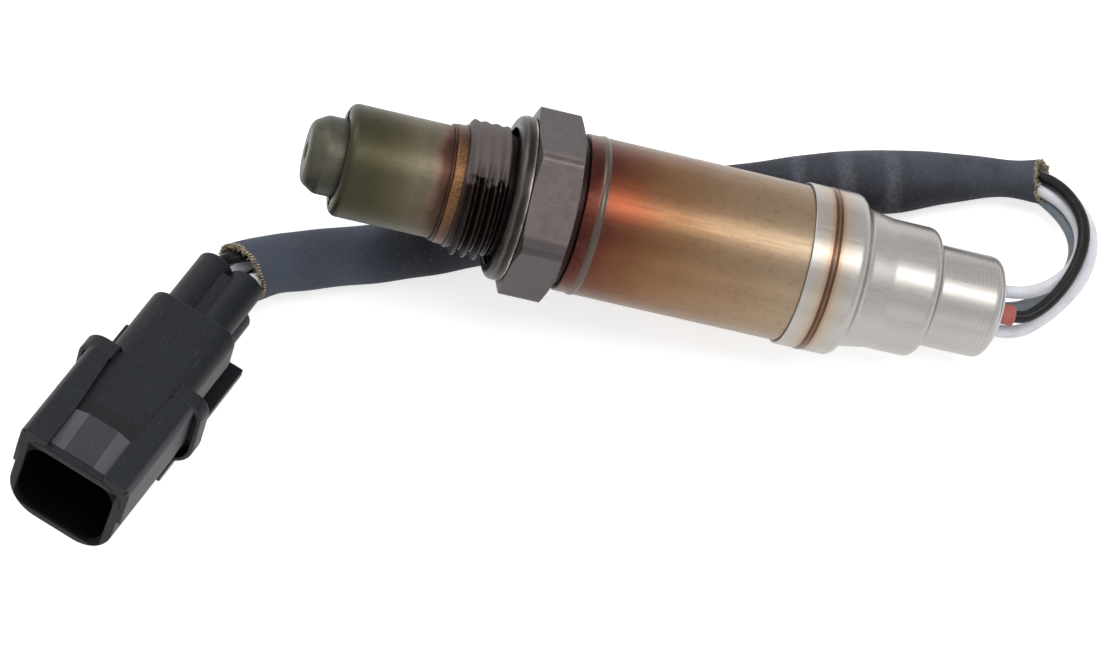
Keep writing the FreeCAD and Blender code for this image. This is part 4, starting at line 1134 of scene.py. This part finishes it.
finishPiece(makeSleeve(), sleeveFinish(), "sleeve_steel", "protective_sleeve")
finishPiece(makeCap(), capFinish(), "cap_steel", "stepped_cap")
grommetWhite = plainFinish("whiteGrommet", (214, 224, 234), (196, 206, 218), 0.0, 0.45)
plug = gridPiece("white_grommet", turnedGrid(openLine(*grommet["line"]), 180), sensorPlace, False)
finishPiece(plug, grommetWhite, "white_grommet", "lead_grommet")
redSeal = sealFinish()
for number in range(4):
    side, height = sealSpot(number)
    end = grommet["ends"][number]
    bore = leadSize["dia"] / 2 + 0.02
    edge = grommet["sealDia"] / 2
    seal = turnedPiece("seal_ring_" + str(number + 1), [
        (grommet["sealStart"], bore, 0),
        (grommet["sealStart"], edge, 0),
        (end, edge, 0.28),
        (end, bore, 0.12),
    ], count=64, side=side, height=height)
    finishPiece(seal, redSeal, "red_seal", "lead_seal_" + str(number + 1))
print("sleeve, cap and seals made")

# Connector housing: along its own X axis from the lead side to the mouth. A bar is its start, end, width,
# lowest and highest height, and the rounding of its top and low corners
connector = {
    "length": 41.5, "slant": 2.6, "slantFrom": 27.0, "heights": (-8.2, 7.9), "floor": 26.0, "wall": 1.3,
    "lobe": {"dia": 5.2, "end": 11.0, "mouth": 1.95, "bore": 1.25, "depth": 6.0},
    "bridge": (1.6, 10.0, 4.68, -3.3, 4.9, 0.3, 0.1),
    "body": (9.4, 21.6, 12.8, -4.6, 6.0, 2.6, 4.2),
    "collar": (21.0, 23.4, 18.8, -8.0, 6.9, 2.7, 5.6),
    "cup": {"wall": 0.7, "recess": 1.6, "gap": 4.7, "gapTop": 5.86, "edge": 0.3},
    "shroud": (21.4, 41.5, 15.5, -7.2, 5.9, 3.6, 4.8),
    "guide": (23.3, 39.8, 8.2, 4.9, 4.2, -0.2, 6.86),  # start, end, outer and two inner sides, heights
    "guideRound": 1.1,
    "guideInset": 0.06,
    "guideMiddle": (7.3, 5.6),
    "guideStops": (0.9, 0.82, 0.74, 0.66, 0.57, 0.48, 0.38, 0.3, 0.0, -0.5, -0.88),
    "wallArc": (3.0, 4.15, 2.3),  # radius, side and height of the shroud's inner corner
    "ramp": (32.5, 38.3, 8.4, 4.4, 1.35, 0.65),  # start, end, width, crown's width, and their two heights
    "rib": (15.7, 19.4, 0.9, 2.4, 3.9, 0.2, 0.2),
    "railPlate": (5.4, 26.5, 14.3, -8.2, -6.8, 0.2, 0.2),
    "railWeb": (6.4, 25.5, 6.4, -8.0, -3.6, 0.2, 0.2),
}


def roundedSection(half, low, high, topRound, lowRound, topStops=None, lowStops=None):
    # Outline of a rounded rectangle: four quarter arcs, with three points on each straight run between them,
    # or the top and low runs' points at chosen places
    turn = np.radians(np.linspace(0, 90, 10))
    spots = [
        (half - topRound, high - topRound, topRound, 0),
        (topRound - half, high - topRound, topRound, 90),
        (lowRound - half, low + lowRound, lowRound, 180),
        (half - lowRound, low + lowRound, lowRound, 270),
    ]
    arcs = [
        np.stack([x + r * np.cos(turn + np.radians(a)), y + r * np.sin(turn + np.radians(a))], 1)
        for x, y, r, a in spots
    ]
    share = np.array([0.03, 0.5, 0.97])[:, None]
    runs = [arcs[k][-1] * (1 - share) + arcs[(k + 1) % 4][0] * share for k in range(4)]
    if topStops is not None:
        runs[0] = np.column_stack([topStops, np.full(len(topStops), high)])
    if lowStops is not None:
        runs[2] = np.column_stack([lowStops, np.full(len(lowStops), low)])
    return np.concatenate([part for pair in zip(arcs, runs) for part in pair])


def barGrid(stations, bar, topStops=None, lowStops=None):
    # Rounded rectangle carried along X through stations (place, inset), closed by a point at both ends
    _, _, width, low, high, topRound, lowRound = bar
    rows = []
    for place, inset in stations:
        section = roundedSection(
            width / 2 - inset, low + inset, high - inset,
            max(topRound - inset, 0.05), max(lowRound - inset, 0.05), topStops, lowStops,
        )
        rows.append(np.column_stack([np.full(len(section), place), section]))
    first, last = [
        np.column_stack([row[:, 0], np.zeros(len(row)), np.full(len(row), (low + high) / 2)])
        for row in (rows[0], rows[-1])
    ]
    return np.array([first, *rows, last])


def quarterArc(place, edge, way, count=6):
    # Stations (place, inset) round a quarter arc, from a bar's end face to its side
    turn = np.radians(np.linspace(90, 0, count))
    return [(place + way * edge * (1 - np.sin(a)), edge * (1 - np.cos(a))) for a in turn]


def barPiece(name, bar, edge=0.25, bend=None, inner=4, topStops=None, lowStops=None):
    # A bar with both ends rounded by a quarter arc
    start, end = bar[:2]
    places = start + edge + np.linspace(0.02, 0.98, inner) * (end - start - 2 * edge)
    stations = [(start, edge + 0.06), *quarterArc(start, edge, 1), *[(place, 0.0) for place in places]]
    stations += [*quarterArc(end, edge, -1)[::-1], (end, edge + 0.06)]
    grid = barGrid(stations, bar, topStops, lowStops)
    if bend is not None:
        grid = bend(grid)
    return gridPiece(name, grid, connectorPlace, False)


def mouthSlant(grid):
    # The mouth is cut back towards the top: places near the mouth slide back with height
    low, high = connector["heights"]
    share = smoothStep(connector["slantFrom"], connector["length"], grid[..., 0])
    out = grid.copy()
    out[..., 0] -= connector["slant"] * (grid[..., 2] - low) / (high - low) * share
    return out


def shroudGrid():
    # Outer wall from the collar to the mouth, round the rim, and back inside to the floor
    start, end = connector["shroud"][:2]
    wall, floor, edge = connector["wall"], connector["floor"], 0.3
    turn = np.radians(np.linspace(0, 90, 5))
    stations = [(start, 0.0)] + [(place, 0.0) for place in np.linspace(start + 0.3, end - edge - 0.05, 12)]
    stations += quarterArc(end, edge, -1, 5)[::-1]
    stations += [(end - edge * (1 - np.cos(a)), wall - edge * (1 - np.sin(a))) for a in turn]
    stations += [(place, wall) for place in np.linspace(end - edge - 0.05, floor + 0.05, 8)]
    stations += [(floor, wall), (floor, wall + 0.1)]
    return mouthSlant(barGrid(stations, connector["shroud"]))


def collarGrid():
    # A shallow cup round the shroud's rear: out over its skin, round the rim, and back inside to its floor.
    # Its top edge is lowered between the guides, where the collar ends level with the body
    start, end = connector["collar"][:2]
    cup = connector["cup"]
    wall, edge, gap, floor = cup["wall"], cup["edge"], cup["gap"], end - cup["recess"]
    stations = [(start, edge + 0.06), *quarterArc(start, edge, 1)]
    stations += [(place, 0.0) for place in np.linspace(start + edge + 0.05, end - 0.2, 4)]
    stations += [(end - 0.05, 0.05), (end, 0.2), (end, wall - 0.12), (end - 0.12, wall)]
    stations += [(floor + 0.05, wall), (floor, wall + 0.05), (floor, wall + 1.6)]
    grid = barGrid(stations, connector["collar"], (gap + 0.03, gap - 0.03, 0.0, 0.03 - gap, -0.03 - gap))
    inner = np.array([0.0, *[inset for place, inset in stations], 0.0])[:, None] > wall / 2
    top = np.where(inner, cup["gapTop"] - 0.25, cup["gapTop"])
    middle = (np.abs(grid[..., 1]) < gap) & (grid[..., 2] > 0)
    grid[..., 2] = np.where(middle, np.minimum(grid[..., 2], top), grid[..., 2])
    return grid


def guideBend(sign):
    # One guide: its inner side runs in towards the mouth, its outer side stays straight with a rounded top
    # edge, its end follows the slanting mouth, and its underside stays in the shroud's wall, whose inner
    # corner is an arc
    start, end, outerSide, rearInner, frontInner, _, high = connector["guide"]
    rounding = connector["guideRound"]
    arcRadius, arcSide, arcHeight = connector["wallArc"]
    middleSide, middleHeight = connector["guideMiddle"]
    lowest, highest = connector["heights"]

    def bend(grid):
        out = grid.copy()
        inner = np.interp(grid[..., 0], [start, connector["ramp"][0]], [rearInner, frontInner])
        side = inner + (grid[..., 1] + 1.0) / 2.0 * (outerSide - inner)
        inward = np.clip(rounding - (outerSide - side), 0, rounding)
        arc = high - rounding + np.sqrt(np.clip(rounding ** 2 - inward ** 2, 0, None))
        reach = np.clip(side - arcSide, 0, arcRadius)
        under = arcHeight + np.sqrt(arcRadius ** 2 - reach ** 2)
        out[..., 1] = sign * side
        out[..., 2] = np.minimum(grid[..., 2], arc)
        out[..., 2] = np.where(reach < arcRadius, np.maximum(out[..., 2], under), out[..., 2])
        out[[0, -1], :, 1:] = (sign * middleSide, middleHeight)
        mouth = connector["length"] - connector["guideInset"]
        mouth = mouth - connector["slant"] * (out[..., 2] - lowest) / (highest - lowest)
        out[..., 0] -= np.clip(end - mouth, 0, None) * smoothStep(30.0, end - 0.4, grid[..., 0])
        return out
    return bend


def rampGrid():
    # Three-faced ramp: height falls from the locking face to the mouth, less at the sides than at the crown
    start, end, width, crown, height, sideHeight = connector["ramp"]
    top = connector["shroud"][4]
    places = np.concatenate([[start], np.linspace(start, end, 9), [end]])
    outer = np.linspace(crown / 2, width / 2, 4)
    across = np.unique(np.concatenate([-outer, np.linspace(-crown / 2, crown / 2, 5), outer]))
    share = np.interp(places, [start, end], [1.0, 0.06])[:, None]
    tops = top + share * np.interp(np.abs(across), [crown / 2, width / 2], [height, sideHeight])[None]
    upper = np.stack(np.broadcast_arrays(places[:, None], across, tops), -1)
    lower = upper[:, ::-1].copy()
    lower[..., 2] = top - 0.4
    ring = np.concatenate([upper, lower], 1)
    middle = ring.mean(1, keepdims=True)
    ring[:1], ring[-1:] = middle[0], middle[-1]
    return ring


def ribBend(grid):
    # The small rib stands on the left side of the body
    out = grid.copy()
    out[..., 1] -= connector["body"][2] / 2 - 0.1
    return out


def plasticFinish(name, base, lighter, dust, roughness=0.42, side=None):
    # Moulded black plastic: soft cloudiness, pale dust that settles in patches, and fine scuffs; painted
    # shade makes it nearly black and less glossy inside the mouth and darker in a band behind the locking
    # ramp. The top outer edges are lighter, partly wear and partly painted highlight. With a side tone,
    # whatever lies beyond the ramp's crown takes that tone, a painted highlight on its side facets
    material, tree, shader = newFinish(name, 0.0, roughness, 0.2)
    coords = localCoords(tree, "connector")
    along, across, height = parted(tree, coords)
    cloud = noise(tree, coords, 0.2, 4.0, 0.6)
    grain = noise(tree, coords, 4.5, 5.0, 0.75)
    scuff = noise(tree, localCoords(tree, "connector", (0.5, 3.0, 3.0)), 0.8, 5.0, 0.7)
    speck = noise(tree, coords, 2.6, 6.0, 0.9)
    wide = mathOf(tree, "ABSOLUTE", across)
    tone = blended(tree, cloud, base, lighter)
    # Painted highlight: the ramp's side facets take a lighter tone, as if turned to the light
    if side is not None:
        crown = connector["ramp"][3] / 2
        tone = layered(tree, tone, (wide, crown - 0.05, crown + 0.05, 1.0, side))
    tone = layered(tree, tone, (scuff, 0.58, 0.8, 0.3, dust), (speck, 0.57, 0.63, 0.2, dust))
    # Lighter top outer edges from the collar forward: partly wear, partly painted highlight
    edge = times(tree, spread(tree, wide, 7.3, 7.9), spread(tree, height, 5.6, 6.4))
    edge = times(tree, edge, spread(tree, along, 23.0, 23.6), 0.4)
    # Painted shade: a darker band on the channel floor just behind the locking ramp, in place of a step's
    # shade
    worn = times(tree, spread(tree, height, 5.6, 5.8), spread(tree, wide, 4.1, 4.0), 0.6)
    worn = times(tree, worn, window(tree, along, (29.5, 29.7), (32.5, 32.4)))
    # Painted shade: nearly black inside the mouth
    inside = times(tree, spread(tree, along, 25.9, 26.0), spread(tree, wide, 6.75, 6.5))
    inside = times(tree, inside, window(tree, height, (-6.3, -5.95), (4.95, 4.65)))
    for share, colour in ((edge, dust), (worn, (16, 17, 18)), (inside, (7, 7, 8))):
        tone = blended(tree, share, tone, colour)
    gloss = scaled(tree, grain, 0.25, 0.75, roughness - 0.08, roughness + 0.16)
    # Painted shade: less gloss inside the mouth
    tree.links.new(scaled(tree, inside, 0.0, 1.0, 0.2, 0.04), shader.inputs["Specular IOR Level"])
    dress(tree, shader, tone, gloss, summed(tree, (grain, 1.0), (scuff, 0.6)), 0.03, 0.4)
    return material


plastic = plasticFinish("connectorPlastic", (17, 20, 24), (26, 30, 34), (96, 97, 101))
# The ramp is a lighter copy of the same plastic: painted light on the sloping ramp
paintedLightRampPlastic = plasticFinish("paintedLightRampPlastic", (46, 48, 53), (52, 54, 58), (110, 110, 114), 0.5, (76, 76, 80))
lobeSize = connector["lobe"]
housingPieces = []
for key, (across, up) in cavities.items():
    start = lowerLobeInset if up < 0 else 0.0
    edge = lobeSize["dia"] / 2
    depth = start + lobeSize["depth"]
    housingPieces.append(turnedPiece("lobe_" + key, [
        (start, lobeSize["mouth"], 0.15),
        (start, edge, 0.35),
        (lobeSize["end"], edge, 0),
        (lobeSize["end"], lobeSize["bore"], 0),
        (depth, lobeSize["bore"], 0),
        (depth, lobeSize["mouth"], 0),
    ], connectorPlace, count=96, side=across, height=up))
housingPieces.append(barPiece("lobe_bridge", connector["bridge"], 0.2))
housingPieces.append(barPiece("connector_body", connector["body"], 0.5))
housingPieces.append(gridPiece("connector_collar", collarGrid(), connectorPlace, False))
housingPieces.append(gridPiece("connector_shroud", shroudGrid(), connectorPlace, False))
start, end, outerSide, rearInner, frontInner, low, high = connector["guide"]
stops = np.array(connector["guideStops"])
for name, sign in (("left", -1), ("right", 1)):
    bar = (start, end, 2.0, low, high, 0.04, 0.1)
    housingPieces.append(barPiece("guide_" + name, bar, 0.18, guideBend(sign), 12, stops, stops[::-1]))
rampPiece = gridPiece("locking_ramp", rampGrid(), connectorPlace, False, 9)
finishPiece(rampPiece, paintedLightRampPlastic, "connector_plastic", "connector_housing")
housingPieces.append(barPiece("body_rib", connector["rib"], 0.25, ribBend))
housingPieces.append(barPiece("rail_plate", connector["railPlate"], 0.3))
housingPieces.append(barPiece("rail_web", connector["railWeb"], 0.2))
for piece in housingPieces:
    finishPiece(piece, plastic, "connector_plastic", "connector_housing")
print("connector made")


def fourOf(name):
    return [name + "_" + str(number) for number in range(1, 5)]


# Finishes for the pieces that stay as they came: two tones, metallic, roughness, whose axes, and their nodes
ceramicNodes = ["front_ceramic", "rear_ceramic", "contact_holder_upper", "contact_holder_lower"]
keptFinishes = {
    "whiteCeramic": ((236, 232, 222), (222, 216, 204), 0.0, 0.6, "sensor", ceramicNodes),
    "pressedPowder": ((196, 190, 180), (170, 164, 152), 0.0, 0.9, "sensor", ["powder_packing"]),
    "elementCeramic": ((240, 238, 232), (226, 226, 224), 0.0, 0.4, "sensor", ["sensor_element"]),
    "springSteel": ((170, 168, 164), (146, 142, 138), 1.0, 0.3, "sensor", ["holder_spring"]),
    "contactNickel": ((190, 184, 168), (166, 158, 140), 1.0, 0.28, "sensor", fourOf("contact_clip")),
    "leadEnds": ((196, 196, 200), (150, 152, 156), 0.0, 0.45, "sensor", ["lead_ends"]),
    "lockPlastic": ((52, 54, 58), (66, 68, 72), 0.0, 0.5, "connector", ["terminal_lock"]),
    "tinPlate": ((200, 198, 192), (176, 172, 164), 1.0, 0.3, "connector", fourOf("terminal")),
    "wireSealRubber": ((92, 94, 98), (78, 80, 84), 0.0, 0.65, "connector", fourOf("wire_seal")),
}
for name, (*looks, nodes) in keptFinishes.items():
    material = plainFinish(name, *looks)
    for nodeName in nodes:
        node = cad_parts[nodeName]
        node.data.materials.clear()
        node.data.materials.append(material)
print("kept pieces finished")

# Surface, lamps and white surroundings
studio = {"surfaceSize": 4.0, "world": 0.62, "surfaceGlow": 0.62, "surfaceTone": (0.78, 0.78, 0.78, 1.0)}
lampAim = (0.02, -0.01, -0.01)  # metres, as the lamps' places and sizes
lamps = {
    "streakLamp": {"from": (0.27, 0.03, 0.64), "size": (0.62, 0.27), "power": 2.05},
    "sideLamp": {"from": (-0.36, 0.42, 0.5), "size": (0.5, 0.5), "power": 1.7},
    "frontLamp": {"from": (0.2, -0.7, 0.24), "size": (0.6, 0.3), "power": 0.3},
}
white = (255, 255, 255)


def seenDirectly(tree):
    # One for what the camera sees itself, in a reflection or through glass, zero for the light on the object
    path = addNode(tree, "ShaderNodeLightPath")
    seen = mathOf(tree, "MAXIMUM", path.outputs["Is Camera Ray"], path.outputs["Is Glossy Ray"])
    return mathOf(tree, "MAXIMUM", seen, path.outputs["Is Transmission Ray"])


def endTree(tree, outputKind, lit, shown):
    # One shader for the light on the object, and another for what is seen
    inputs = {0: seenDirectly(tree), 1: lit.outputs[0], 2: shown.outputs[0]}
    mixed = addNode(tree, "ShaderNodeMixShader", inputs)
    tree.links.new(mixed.outputs[0], addNode(tree, outputKind).inputs["Surface"])


def setStage():
    half, height = studio["surfaceSize"] / 2, surfaceHeight * mm
    corners = [(-half, -half, height), (half, -half, height), (half, half, height), (-half, half, height)]
    mesh = bpy.data.meshes.new("surface")
    mesh.from_pydata(corners, [], [(0, 1, 2, 3)])
    floor = bpy.data.objects.new("surface", mesh)
    bpy.context.collection.objects.link(floor)
    material = bpy.data.materials.new("paleSurface")
    material.use_nodes = True
    tree = material.node_tree
    tree.nodes.clear()
    matt = addNode(tree, "ShaderNodeBsdfDiffuse")
    matt.inputs["Color"].default_value = studio["surfaceTone"]
    glow = addNode(tree, "ShaderNodeEmission", {"Color": white, "Strength": studio["surfaceGlow"]})
    both = addNode(tree, "ShaderNodeAddShader", {0: matt.outputs[0], 1: glow.outputs[0]})
    endTree(tree, "ShaderNodeOutputMaterial", matt, both)
    mesh.materials.append(material)


def setWorld():
    world = bpy.data.worlds.new("surroundings")
    world.use_nodes = True
    bpy.context.scene.world = world
    tree = world.node_tree
    tree.nodes.clear()
    soft = addNode(tree, "ShaderNodeBackground", {"Color": white, "Strength": studio["world"]})
    plain = addNode(tree, "ShaderNodeBackground", {"Color": white, "Strength": 1.0})
    endTree(tree, "ShaderNodeOutputWorld", soft, plain)


def setLamps():
    for name, lamp in lamps.items():
        data = bpy.data.lights.new(name, "AREA")
        data.shape = "RECTANGLE"
        data.size, data.size_y = lamp["size"]
        data.energy = lamp["power"]
        back = unit(np.array(lamp["from"]) - np.array(lampAim))
        upward = unit(np.cross(back, [1.0, 0.0, 0.0]))
        addAimed(name, data, np.cross(upward, back), upward, back, lamp["from"])


setStage()
setWorld()
setLamps()
bpy.context.scene.view_settings.view_transform = "Standard"
print("stage set")
